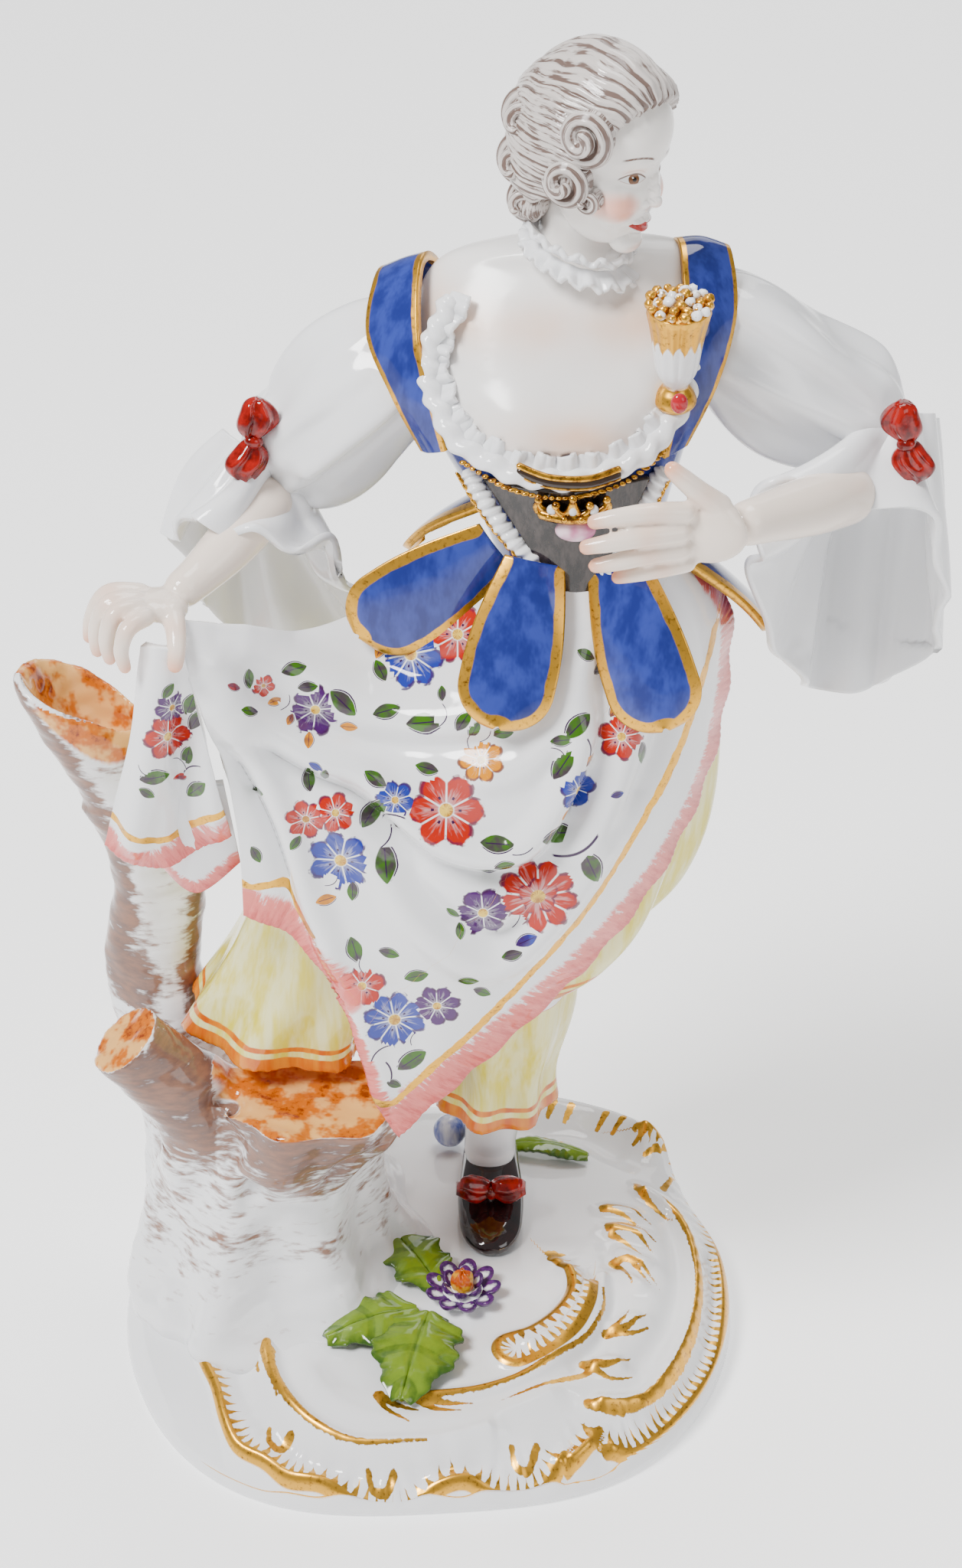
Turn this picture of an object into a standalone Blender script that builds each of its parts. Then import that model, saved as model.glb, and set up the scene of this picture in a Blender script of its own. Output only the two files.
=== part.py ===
# Porcelain figurine: a dancing lady who lifts her flowered apron, beside a tree stump, on a
# rocaille mound.  Every sub-part is one named closed solid.  Free-form places are written in
# millimetres of a figure 150 mm tall and scaled by FIGURE_HEIGHT.  X points to the viewer's
# right, Y away from the viewer and Z up; the origin is the centre of the flat underside.
import math

import bmesh
import bpy
import numpy as np
from mathutils import Matrix, Vector
from mathutils.bvhtree import BVHTree

# Driving dimensions, metres
FIGURE_HEIGHT = 0.150      # table to the crown of the hair
BASE_WIDTH = 0.0680        # mound, left to right
BASE_DEPTH = 0.0645        # mound, front to back
MOUND_HEIGHT = 0.0088      # table to the top of the mound
VENT_BORE = 0.0036         # blind vent hole in the underside
VENT_DEPTH = 0.0050
STUMP_GIRTH = 0.0190       # width of the sawn face of the stump
APRON_WALL = 0.0010        # apron, its flap and the cuffs
TAB_LENGTH = 0.0158        # tabs of the jacket, waist to rounded end
TAB_WIDTH = 0.0086
TAB_WALL = 0.0009
LACE_WALL = 0.0012
SLEEVE_GIRTH = 0.0124      # upper sleeves
SHOE_LENGTH = 0.0200
SHOE_WIDTH = 0.0074
ORNAMENT_HEIGHT = 0.0110   # fluted bouquet holder at the shoulder
CLEARANCE = 0.0003         # seam between pieces that meet

FIGURE = FIGURE_HEIGHT / 150.0
BASE_X = BASE_WIDTH / 68.0
BASE_Y = BASE_DEPTH / 64.5
SAME = 1e-6                # merge distance for welded caps


# ---------------------------------------------------------------- points and curves
def figure_points(points):
    return np.array(points, float) * FIGURE


def mound_profile(reach):
    # height of the mound's skin where reach is 0 at the middle and 1 at the rim
    reach = np.clip(np.asarray(reach, float), 0.0, 1.0)
    return MOUND_HEIGHT * (1.0 - 0.78 * reach ** 5)


def rim_radius(angle):
    # outline of the mound in millimetres: an egg with soft lobes, the far right one longest
    a = np.asarray(angle, float)
    return (32.6 + 1.0 * np.cos(2 * a) + 0.9 * np.cos(3 * (a - 1.75)) + 0.6 * np.cos(5 * (a + 0.9))
            + 4.6 * np.exp(-((a - 0.86) / 0.34) ** 2))


def mound_reach(x, y):
    return np.hypot(x, y + 2.0) / rim_radius(np.arctan2(y + 2.0, x))


def on_mound(points, lift):
    # points (x, y) in millimetres of the base, laid on the skin of the mound and raised
    p = np.array(points, float)
    z = mound_profile(mound_reach(p[:, 0], p[:, 1])) + np.asarray(lift, float) * 0.001
    return np.column_stack([p[:, 0] * BASE_X, p[:, 1] * BASE_Y, z])


def spline(points, count, closed=False):
    # Catmull-Rom curve through the points, read at count places
    p = np.array(points, float)
    n = len(p)
    spans = n if closed else n - 1
    t = np.linspace(0, spans, count, endpoint=not closed)
    i = np.minimum(t.astype(int), spans - 1)
    f = (t - i).reshape((-1,) + (1,) * (p.ndim - 1))

    def pick(k):
        return p[(i + k) % n] if closed else p[np.clip(i + k, 0, n - 1)]

    a, b, c, d = pick(-1), pick(0), pick(1), pick(2)
    return 0.5 * (2 * b + (c - a) * f + (2 * a - 5 * b + 4 * c - d) * f ** 2
                  + (3 * b - a - 3 * c + d) * f ** 3)


# ---------------------------------------------------------------- scene helpers
def clear_scene():
    for item in list(bpy.data.objects):
        bpy.data.objects.remove(item, do_unlink=True)


def new_collection(name):
    group = bpy.data.collections.new(name)
    bpy.context.scene.collection.children.link(group)
    return group


def paint(name, colour, roughness, metallic=0.0, coat=0.6):
    material = bpy.data.materials.new(name + "_glaze")
    material.use_nodes = True
    shader = material.node_tree.nodes["Principled BSDF"]
    shader.inputs["Base Color"].default_value = (*colour, 1.0)
    shader.inputs["Roughness"].default_value = roughness
    shader.inputs["Metallic"].default_value = metallic
    shader.inputs["Coat Weight"].default_value = coat
    return material


def add_mesh(name, build):
    mesh = bpy.data.meshes.new(name)
    build.to_mesh(mesh)
    build.free()
    item = bpy.data.objects.new(name, mesh)
    PARTS.objects.link(item)
    return item


def bake(item):
    # the object's evaluated mesh takes the place of its modifiers
    bpy.context.view_layer.update()
    seen = item.evaluated_get(bpy.context.evaluated_depsgraph_get())
    mesh = bpy.data.meshes.new_from_object(seen)
    item.modifiers.clear()
    old = item.data
    item.data = mesh
    bpy.data.meshes.remove(old)
    return item


def face_out(build):
    bmesh.ops.recalc_face_normals(build, faces=build.faces)
    if build.calc_volume(signed=True) < 0:
        bmesh.ops.reverse_faces(build, faces=build.faces)


# ---------------------------------------------------------------- shape helpers
def loft(name, rings):
    # a closed solid through unlike rings of equal point counts, each end closed to a point
    rings = np.array(rings, float)
    levels, count = rings.shape[:2]
    build = bmesh.new()
    grid = [[build.verts.new(p) for p in ring] for ring in rings]
    for low, high in zip(grid, grid[1:]):
        for k in range(count):
            nxt = (k + 1) % count
            build.faces.new((low[k], low[nxt], high[nxt], high[k]))
    for ring in (grid[0], grid[-1]):
        middle = build.verts.new(sum((v.co for v in ring), Vector()) / count)
        for k in range(count):
            build.faces.new((ring[k], ring[(k + 1) % count], middle))
    face_out(build)
    return add_mesh(name, build)


def oval(centre, half_x, half_y, count, tilt=(0.0, 0.0), folds=(0, 0.0, 0.0)):
    # an oval ring; tilt is the rise per unit of X and of Y, folds are (number, depth, phase)
    a = np.linspace(0, 2 * math.pi, count, endpoint=False)
    swell = 1 + folds[1] * np.cos(folds[0] * a + folds[2])
    x = half_x * np.cos(a) * swell
    y = half_y * np.sin(a) * swell
    return np.column_stack([centre[0] + x, centre[1] + y, centre[2] + tilt[0] * x + tilt[1] * y])


def oval_loft(name, sections, count, levels):
    # sections are (x, y, z, half_x, half_y, tilt_x, tilt_y, fold depth) in figure millimetres
    rows = spline(sections, levels)
    rings = [oval(r[:3], r[3], r[4], count, (r[5], r[6]), (7, r[7], 0.6)) for r in rows]
    return loft(name, figure_points(rings))


def tube(name, points, radii, sides=3):
    # a curve with its own radius at each point and filled caps, made a mesh
    curve = bpy.data.curves.new(name, "CURVE")
    curve.dimensions = "3D"
    curve.bevel_depth = 1.0
    curve.bevel_resolution = sides
    curve.use_fill_caps = True
    line = curve.splines.new("POLY")
    line.points.add(len(points) - 1)
    for knot, place, radius in zip(line.points, points, radii):
        knot.co = (*place, 1.0)
        knot.radius = radius
    guide = bpy.data.objects.new(name + "_curve", curve)
    PARTS.objects.link(guide)
    bpy.context.view_layer.update()
    seen = guide.evaluated_get(bpy.context.evaluated_depsgraph_get())
    build = bmesh.new()
    build.from_mesh(bpy.data.meshes.new_from_object(seen))
    bmesh.ops.remove_doubles(build, verts=build.verts, dist=SAME)
    face_out(build)
    bpy.data.objects.remove(guide, do_unlink=True)
    return add_mesh(name, build)


def limb(name, knots, count, sides=3):
    # knots are (x, y, z, radius) in figure millimetres
    rows = spline(knots, count)
    return tube(name, figure_points(rows[:, :3]), rows[:, 3] * FIGURE, sides)


def ball(name, centre, radii, turn=None, segments=16, rings=10):
    build = bmesh.new()
    bmesh.ops.create_uvsphere(build, u_segments=segments, v_segments=rings, radius=1.0)
    shape = Matrix.Diagonal((*radii, 1.0))
    if turn is not None:
        shape = turn.to_4x4() @ shape
    bmesh.ops.transform(build, matrix=Matrix.Translation(centre) @ shape, verts=build.verts)
    return add_mesh(name, build)


def figure_ball(name, centre, radii, turn=None, segments=16, rings=10):
    return ball(name, Vector(centre) * FIGURE, Vector(radii) * FIGURE, turn, segments, rings)


def sheet(name, net, across, down, wall):
    # a wall of even thickness about a smooth surface through a net of points (rows, columns)
    rows = spline(np.array(net, float), down + 1)
    surface = spline(rows.transpose(1, 0, 2), across + 1)
    build = bmesh.new()
    bmesh.ops.create_grid(build, x_segments=across, y_segments=down, size=1.0)
    for v in build.verts:
        column = round((v.co.x + 1) / 2 * across)
        row = round((v.co.y + 1) / 2 * down)
        v.co = surface[column, row]
    item = add_mesh(name, build)
    solid = item.modifiers.new("wall", "SOLIDIFY")
    solid.thickness = wall
    solid.offset = 0.0
    bake(item)
    return put_right(item)


def put_right(item):
    build = bmesh.new()
    build.from_mesh(item.data)
    face_out(build)
    build.to_mesh(item.data)
    build.free()
    return item


def bell(name, rings, count, levels, wall):
    # an open sleeve end: closed rings of free points, carried as one wall
    loops = np.array([spline(ring, count, closed=True) for ring in rings])
    loops = spline(loops, levels)
    build = bmesh.new()
    grid = [[build.verts.new(p) for p in ring] for ring in figure_points(loops)]
    for low, high in zip(grid, grid[1:]):
        for k in range(count):
            nxt = (k + 1) % count
            build.faces.new((low[k], low[nxt], high[nxt], high[k]))
    item = add_mesh(name, build)
    solid = item.modifiers.new("wall", "SOLIDIFY")
    solid.thickness = wall
    solid.offset = 0.0
    bake(item)
    return put_right(item)


def turned(name, profile, steps=16):
    # a profile of (radius, height) turned about Z; it runs down the outer side
    mesh = bpy.data.meshes.new(name)
    points = [(r, 0.0, z) for r, z in profile]
    mesh.from_pydata(points, [(k, k + 1) for k in range(len(points) - 1)], [])
    item = bpy.data.objects.new(name, mesh)
    PARTS.objects.link(item)
    screw = item.modifiers.new("turn", "SCREW")
    screw.steps = steps
    screw.render_steps = steps
    screw.use_merge_vertices = True
    screw.merge_threshold = SAME
    bake(item)
    return put_right(item)


def place(item, matrix):
    item.data.transform(matrix)
    return item


def combine(item, other, operation):
    cut = item.modifiers.new("cut", "BOOLEAN")
    cut.operation = operation
    cut.solver = "EXACT"
    cut.object = other
    bake(item)
    return item


def fuse(name, pieces):
    first = pieces[0]
    for other in pieces[1:]:
        combine(first, other, "UNION")
        bpy.data.objects.remove(other, do_unlink=True)
    first.name = name
    first.data.name = name
    build = bmesh.new()
    build.from_mesh(first.data)
    bmesh.ops.remove_doubles(build, verts=build.verts, dist=2 * SAME)
    bmesh.ops.dissolve_degenerate(build, dist=2 * SAME, edges=build.edges)
    build.to_mesh(first.data)
    build.free()
    return first


def main_body(item):
    # a cut can leave loose chips: only the largest body stays
    build = bmesh.new()
    build.from_mesh(item.data)
    bmesh.ops.dissolve_degenerate(build, dist=SAME, edges=build.edges)
    left = set(build.verts)
    bodies = []
    while left:
        stack = [next(iter(left))]
        left.discard(stack[0])
        body = []
        while stack:
            v = stack.pop()
            body.append(v)
            for edge in v.link_edges:
                other = edge.other_vert(v)
                if other in left:
                    left.discard(other)
                    stack.append(other)
        bodies.append(body)

    def spread(body):
        low = [min(v.co[k] for v in body) for k in range(3)]
        high = [max(v.co[k] for v in body) for k in range(3)]
        return math.prod(h - l + SAME for h, l in zip(high, low))

    bodies.sort(key=spread, reverse=True)
    chips = [v for body in bodies[1:] for v in body]
    bmesh.ops.delete(build, geom=chips, context="VERTS")
    build.to_mesh(item.data)
    build.free()
    return item


def swollen(item, gap):
    # a copy of the solid pushed out along its normals, used as a cutter
    build = bmesh.new()
    build.from_mesh(item.data)
    build.normal_update()
    moves = [(v, v.normal * (gap * min(v.calc_shell_factor(), 1.5))) for v in build.verts]
    for v, move in moves:
        v.co += move
    mesh = bpy.data.meshes.new(item.name + "_cutter")
    build.to_mesh(mesh)
    build.free()
    cutter = bpy.data.objects.new(item.name + "_cutter", mesh)
    CUTTERS.objects.link(cutter)
    cutter.hide_render = True
    cutter.display_type = "WIRE"
    return cutter


def reach_box(item, margin=0.0):
    points = np.array([v.co for v in item.data.vertices])
    return points.min(0) - margin, points.max(0) + margin


def closed(item):
    build = bmesh.new()
    build.from_mesh(item.data)
    whole = len(build.faces) > 3 and all(edge.is_manifold for edge in build.edges)
    build.free()
    return whole


def surfaces_cross(item, other):
    trees = []
    for solid in (item, other):
        build = bmesh.new()
        build.from_mesh(solid.data)
        trees.append(BVHTree.FromBMesh(build))
        build.free()
    return bool(trees[0].overlap(trees[1]))


def cut_back(item, other):
    # cut by a swollen copy of the other piece; a seam that leaves an open mesh is cut again a hair wider
    whole = item.data.copy()
    for share in (1.0, 1.04, 1.09, 1.15, 1.22, 1.3, 1.4):
        item.data = whole.copy()
        cutter = swollen(other, CLEARANCE * share)
        if surfaces_cross(item, cutter):
            combine(item, cutter, "DIFFERENCE")
            main_body(item)
        bpy.data.objects.remove(cutter, do_unlink=True)
        if closed(item):
            break


def seat(items):
    # each piece is cut back by the pieces before it, which leaves the seam's clearance
    for k, item in enumerate(items):
        for other in items[:k]:
            low, high = reach_box(item)
            low_other, high_other = reach_box(other, CLEARANCE)
            if np.all(low < high_other) and np.all(low_other < high):
                cut_back(item, other)


# ---------------------------------------------------------------- base and rocaille
def make_mound():
    levels = [(0.0, 0.975), (0.9, 1.0), (2.4, 0.995), (4.4, 0.95), (6.4, 0.86), (7.7, 0.74),
              (8.5, 0.55), (8.8, 0.28)]
    a = np.linspace(0, 2 * math.pi, 36, endpoint=False)
    rings = []
    for height, share in levels:
        r = rim_radius(a) * share
        z = np.full_like(a, height * 0.001 * MOUND_HEIGHT / 0.0088)
        rings.append(np.column_stack([r * np.cos(a) * BASE_X, (r * np.sin(a) - 2.0) * BASE_Y, z]))
    mound = loft("base_mound", rings)
    build = bmesh.new()
    bmesh.ops.create_cone(build, cap_ends=True, segments=24, radius1=VENT_BORE / 2,
                          radius2=VENT_BORE / 2, depth=2 * VENT_DEPTH)
    vent = add_mesh("vent_cutter", build)
    place(vent, Matrix.Translation((0.0, 12.0 * BASE_Y, 0.0)))
    combine(mound, vent, "DIFFERENCE")
    bpy.data.objects.remove(vent, do_unlink=True)
    return mound


def ridge(name, points, lift, width, count):
    # a scroll of the rocaille: a tapering roll that lies on the mound
    line = on_mound(points, 0.0)
    rows = spline(line, count)
    rows[:, 2] += lift * 0.001
    u = np.linspace(0, 1, count)
    radii = width * 0.001 * (0.45 + 0.55 * np.sin(math.pi * np.clip(u, 0.04, 0.96)) ** 0.6)
    return tube(name, rows, radii, 2)


ROCAILLE = {
    "front_shell_border": ([(-20.6, -8.8), (-23.2, -15.0), (-20.2, -23.6), (-15.0, -28.6), (-8.2, -31.2),
                            (0.0, -32.2), (8.0, -31.4), (14.5, -28.4)], 0.7, 1.7, 20),
    "front_inner_ridge": ([(-18.6, -13.5), (-17.0, -18.0), (-13.6, -23.5), (-8.2, -27.0), (-1.0, -28.4),
                           (6.0, -27.4)], 0.55, 1.0, 18),
    "right_shell_border": ([(19.5, -27.4), (25.0, -24.2), (29.5, -16.0), (31.4, -6.0), (31.4, 4.0),
                            (29.4, 13.5), (26.0, 18.6)], 0.8, 1.7, 18),
    "right_inner_scroll": ([(23.0, 11.0), (26.4, 6.4), (27.6, 0.0), (27.6, -7.0), (26.0, -13.6), (22.6, -19.4),
                            (17.6, -21.6)], 0.55, 1.0, 18),
    "inner_ribbon": ([(-5.0, -21.4), (1.0, -22.6), (7.0, -20.6), (13.0, -17.4), (17.8, -12.4), (19.8, -7.0),
                      (19.6, -3.4)], 0.55, 1.0, 18),
    "small_c_scroll": ([(13.2, -2.6), (15.4, -5.8), (15.6, -9.6), (12.8, -13.0), (8.6, -14.6), (7.4, -16.6)],
                       0.7, 1.4, 14),
    "back_shell_lobe": ([(10.5, 25.6), (16.5, 28.4), (22.6, 27.2), (27.2, 22.0)], 2.8, 2.6, 12),
}


def make_rocaille():
    return [ridge(name, *values) for name, values in ROCAILLE.items()]


# ---------------------------------------------------------------- tree
def make_tree():
    girth = STUMP_GIRTH / 0.0190
    foot = MOUND_HEIGHT / FIGURE
    stump = oval_loft("tree_stump", [
        (-17.4, 1.5, foot * 0.25, 15.6, 17.0, 0.0, 0.0, 0.03),
        (-17.8, 1.5, foot * 0.8, 14.8, 16.6, 0.0, 0.0, 0.03),
        (-17.6, 2.0, foot + 6.0, 12.8, 13.5, 0.0, 0.0, 0.05),
        (-17.2, 1.0, 23.0, 12.0 * girth, 11.5 * girth, 0.0, 0.0, 0.05),
        (-14.8, -3.8, 29.5, 11.2 * girth, 9.4 * girth, 0.0, 0.02, 0.05),
        (-11.8, -7.0, 34.4, 9.5 * girth, 7.0 * girth, -0.02, 0.04, 0.05),
        (-11.4, -7.6, 36.2, 9.5 * girth, 6.8 * girth, -0.02, 0.05, 0.05)], 20, 10)
    stub = limb("left_stub", [(-19.5, -4.0, 29.0, 5.2), (-24.0, -5.0, 34.5, 4.3), (-28.0, -5.6, 39.2, 3.5),
                              (-31.0, -6.0, 42.6, 3.3)], 10)
    trunk = limb("rear_trunk", [(-23.0, 6.5, 22.0, 8.5), (-27.0, 8.5, 31.0, 6.6), (-29.2, 10.0, 41.0, 5.2),
                                (-28.4, 10.6, 51.0, 4.6), (-29.6, 11.0, 58.6, 4.6)], 14)
    return [stump, stub, trunk, make_branch()]


def make_branch():
    # a short bough, hollow at its open end: the rings rise outside and come down inside
    rings = []
    rows = [(-29.7, 11.0, 59.1, 4.6, 4.6, 0.16), (-31.6, 11.0, 63.5, 5.0, 4.8, -0.1),
            (-33.6, 11.2, 68.0, 5.8, 5.4, -0.25), (-34.9, 11.5, 73.0, 6.6, 5.8, -0.5),
            (-34.8, 11.5, 73.4, 5.6, 4.9, -0.5), (-33.8, 11.3, 69.6, 4.4, 4.0, -0.3),
            (-32.4, 11.1, 66.0, 2.6, 2.4, -0.1)]
    for x, y, z, half_x, half_y, tilt in rows:
        rings.append(oval((x, y, z), half_x, half_y, 20, (tilt, -0.1), (3, 0.05, 0.4)))
    return loft("hollow_branch", figure_points(rings))


# ---------------------------------------------------------------- flower and leaves
def leaf(name, root, tip, width, lobes, wall, droop=0.45):
    # a leaf on the mound from root to tip, its edge in lobes, its midrib a little sunk
    root = np.array(root, float)
    tip = np.array(tip, float)
    along = tip - root
    side = np.array([-along[1], along[0]]) / np.hypot(*along)
    rows = []
    for u in np.linspace(0, 1, 13):
        half = width * (math.sin(math.pi * min(u * 0.9 + 0.07, 1.0)) ** 0.7)
        half *= 1 + 0.14 * math.cos(2 * math.pi * lobes * u)
        spine = root + along * u
        row = [spine + side * half * w for w in (-1.0, -0.5, 0.0, 0.5, 1.0)]
        lift = [1.3 - droop * abs(w) + 0.5 * math.sin(math.pi * u) for w in (-1.0, -0.5, 0.0, 0.5, 1.0)]
        rows.append(on_mound(row, lift))
    return sheet(name, rows, 4, 12, wall)


def make_plants():
    wall = TAB_WALL
    top = MOUND_HEIGHT
    centre = Vector((4.2 * BASE_X, -8.8 * BASE_Y, top + 0.0008))
    # eight petals: rings whose edge runs in lobes, rising outside and dipping to the middle
    rings = []
    for reach, lift, lobe in ((1.4, 0.0, 0.0), (3.0, 0.3, 0.08), (4.3, 1.5, 0.16), (4.1, 2.0, 0.16),
                              (2.8, 1.4, 0.08), (1.6, 1.0, 0.0)):
        rings.append(oval((0.0, 0.0, lift), reach, reach, 32, (0.0, 0.0), (8, lobe, 0.0)))
    blossom = loft("blossom_petals", np.array(rings) * 0.001 + np.array(centre))
    heart = ball("blossom_heart", centre + Vector((0, 0, 0.0022)), (0.0012, 0.0012, 0.0014), None, 12, 8)
    leaves = [leaf("leaf_upper", (0.4, -7.4), (-3.4, 1.0), 3.0, 3, wall),
              leaf("leaf_left", (-1.0, -11.6), (-10.2, -16.4), 2.7, 3, wall),
              leaf("leaf_front", (1.4, -14.6), (-2.0, -25.4), 3.7, 3, wall),
              leaf("leaf_rear", (9.5, 16.4), (17.0, 15.0), 1.4, 1, wall)]
    bud = ball("bud_rear", Vector((2.6 * BASE_X, 17.2 * BASE_Y, top + 0.0022)), (0.0019, 0.0017, 0.0021))
    return [heart, blossom] + leaves + [bud]


# ---------------------------------------------------------------- foot
def make_foot():
    # the shoe points to the viewer; its sole rests on the mound
    length = SHOE_LENGTH / FIGURE
    width = SHOE_WIDTH / FIGURE
    ground = MOUND_HEIGHT / FIGURE
    toe = -2.4
    rings = []
    for u, half, low, high in ((0.0, 0.10, 0.7, 1.5), (0.06, 0.33, 0.35, 2.4), (0.2, 0.47, 0.25, 3.2),
                               (0.4, 0.5, 0.25, 4.2), (0.6, 0.44, 0.6, 5.2), (0.8, 0.38, 0.3, 5.6),
                               (0.95, 0.32, 0.25, 5.6), (1.0, 0.16, 0.7, 4.8)):
        a = np.linspace(0, 2 * math.pi, 16, endpoint=False)
        middle, rise = (low + high) / 2, (high - low) / 2
        rings.append(np.column_stack([7.3 + half * width * np.cos(a), np.full(16, toe + u * length),
                                      ground + middle + rise * np.sin(a)]))
    shoe = loft("shoe", figure_points(rings))
    stocking = limb("stocking", [(7.2, toe + 0.64 * length, ground + 3.6, 3.0), (7.3, 10.4, ground + 7.0, 2.9),
                                 (7.6, 9.6, ground + 12.0, 3.3), (7.8, 8.8, ground + 17.0, 3.8)], 10)
    bow = make_bow("shoe_bow", (7.3, 3.4, ground + 5.4), (1, 0, 0), (0, -0.5, 0.86), 3.6, 1.9)
    return [shoe, bow, stocking]


def make_bow(name, centre, along, up, reach, height):
    # two loops that swell from a knot, flattened against the cloth behind them
    along = Vector(along).normalized()
    up = (Vector(up) - along * along.dot(Vector(up))).normalized()
    turn = Matrix((along, up, along.cross(up))).transposed()
    knots = [(-reach, 0.15 * height, 0.0, 0.45 * height), (-0.62 * reach, 0.1 * height, 0.0, height),
             (-0.2 * reach, 0.0, 0.0, 0.55 * height), (0.0, 0.0, 0.0, 0.62 * height),
             (0.2 * reach, 0.0, 0.0, 0.55 * height), (0.62 * reach, 0.1 * height, 0.0, height),
             (reach, 0.15 * height, 0.0, 0.45 * height)]
    bow = limb(name, knots, 11, 2)
    shape = turn.to_4x4() @ Matrix.Diagonal((1.0, 1.0, 0.62, 1.0))
    return place(bow, Matrix.Translation(Vector(centre) * FIGURE) @ shape)


# ---------------------------------------------------------------- dress
def make_petticoat():
    skirt = oval_loft("petticoat", [
        (14.6, 1.0, 93.0, 9.0, 8.0, 0.0, 0.0, 0.00), (13.4, 2.4, 88.0, 13.0, 11.5, 0.0, 0.0, 0.02),
        (11.0, 4.0, 78.0, 18.4, 14.5, 0.0, 0.0, 0.03), (8.6, 4.8, 66.0, 20.6, 15.2, 0.0, 0.0, 0.03),
        (6.4, 4.8, 55.0, 20.2, 14.6, 0.12, 0.05, 0.04), (5.2, 4.6, 48.0, 17.5, 13.0, 0.25, 0.08, 0.05),
        (5.4, 4.6, 44.0, 13.0, 10.0, 0.3, 0.1, 0.05)], 24, 10)
    lobe = oval_loft("lobe", [
        (-6.0, 2.0, 62.0, 9.0, 9.0, 0.0, 0.0, 0.0), (-10.5, 1.5, 50.0, 9.8, 9.5, 0.0, 0.0, 0.04),
        (-14.4, 1.6, 41.0, 9.8, 9.0, -0.05, 0.0, 0.06), (-14.9, 1.6, 38.2, 10.2, 9.0, -0.12, 0.0, 0.07)], 16, 6)
    around_leg = oval_loft("around_leg", [
        (8.4, 4.0, 52.0, 8.5, 9.0, 0.0, 0.0, 0.0), (8.6, 5.0, 40.0, 7.6, 8.2, 0.0, 0.0, 0.03),
        (8.2, 5.6, 29.0, 5.9, 6.8, 0.0, 0.0, 0.05), (7.8, 5.8, 23.6, 6.3, 7.0, 0.0, 0.0, 0.06)], 16, 6)
    return fuse("petticoat", [skirt, lobe, around_leg])


APRON_NET = [
    [(-22.5, -16.2, 98.0), (-13.0, -11.0, 92.5), (-4.0, -8.8, 91.5), (7.0, -11.4, 95.0), (18.0, -11.4, 95.0),
     (26.0, -6.8, 92.5), (30.6, 2.0, 89.0)],
    [(-19.6, -15.6, 88.0), (-12.5, -14.6, 85.0), (-4.0, -14.8, 82.0), (6.0, -16.8, 81.0), (15.0, -16.4, 79.0),
     (23.0, -11.6, 76.5), (28.4, -3.0, 73.5)],
    [(-18.0, -14.2, 76.0), (-13.0, -14.8, 74.0), (-6.5, -15.8, 71.0), (1.0, -17.2, 68.0), (8.0, -17.2, 65.0),
     (14.0, -15.0, 62.0), (19.0, -11.0, 59.5)],
    [(-17.2, -13.0, 64.5), (-13.0, -13.6, 62.5), (-9.5, -14.6, 58.5), (-7.0, -15.2, 53.0), (-5.5, -15.2, 47.0),
     (-4.3, -15.2, 41.5), (-2.5, -14.6, 37.0)]]

FLAP_NET = [
    [(-25.0, -17.4, 97.6), (-23.4, -17.8, 97.8), (-21.6, -17.6, 97.6)],
    [(-26.4, -16.2, 88.0), (-23.8, -16.8, 88.0), (-20.6, -16.6, 88.4)],
    [(-28.6, -15.2, 79.0), (-25.4, -15.4, 78.0), (-19.6, -15.4, 79.6)],
    [(-30.2, -13.4, 72.4), (-25.4, -13.4, 70.6), (-18.6, -13.6, 74.0)]]


def make_apron():
    apron = sheet("apron", figure_points(APRON_NET), 14, 10, APRON_WALL)
    flap = sheet("apron_flap", figure_points(FLAP_NET), 6, 9, APRON_WALL)
    return [apron, flap]


# waist point, way out and way down of each tab of the jacket
TABS = {
    "tab_left_front": ((7.6, -7.2, 103.4), (-0.82, 0.0, -0.57), (-0.45, -0.35, 0.82)),
    "tab_middle_left": ((11.2, -9.4, 102.6), (-0.22, -0.35, -0.91), (-0.97, 0.1, 0.2)),
    "tab_middle_right": ((19.0, -9.2, 101.8), (0.3, -0.32, -0.90), (-0.95, 0.1, -0.3)),
    "tab_right": ((24.0, -1.0, 99.6), (0.62, 0.3, -0.72), (-0.35, 0.9, 0.1)),
    "tab_back_right": ((21.0, 6.0, 100.0), (0.38, 0.62, -0.69), (0.85, -0.5, 0.0)),
    "tab_back_middle": ((14.6, 8.0, 100.4), (-0.05, 0.72, -0.69), (1.0, 0.0, 0.0)),
    "tab_back_left": ((8.0, 5.2, 101.4), (-0.62, 0.46, -0.63), (0.6, 0.8, 0.0)),
}


def make_tabs():
    items = []
    length = TAB_LENGTH / FIGURE
    half_width = TAB_WIDTH / FIGURE * 0.5
    for name, (waist, way, across) in TABS.items():
        way = Vector(way).normalized()
        across = Vector(across)
        across = (across - way * way.dot(across)).normalized()
        rows = []
        for u in (0.0, 0.2, 0.45, 0.7, 0.86, 0.95, 1.0):
            spread = 0.62 + 0.38 * math.sin(math.pi / 2 * min(u * 1.6, 1.0))
            if u > 0.7:
                spread *= math.sqrt(max(1 - ((u - 0.7) / 0.31) ** 2, 0.0)) * 0.9 + 0.1
            spine = Vector(waist) + way * (u * length)
            rows.append([tuple(spine + across * (half_width * spread * w)) for w in (-1.0, 0.0, 1.0)])
        items.append(sheet(name, figure_points(rows), 5, 10, TAB_WALL))
    return items


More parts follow.
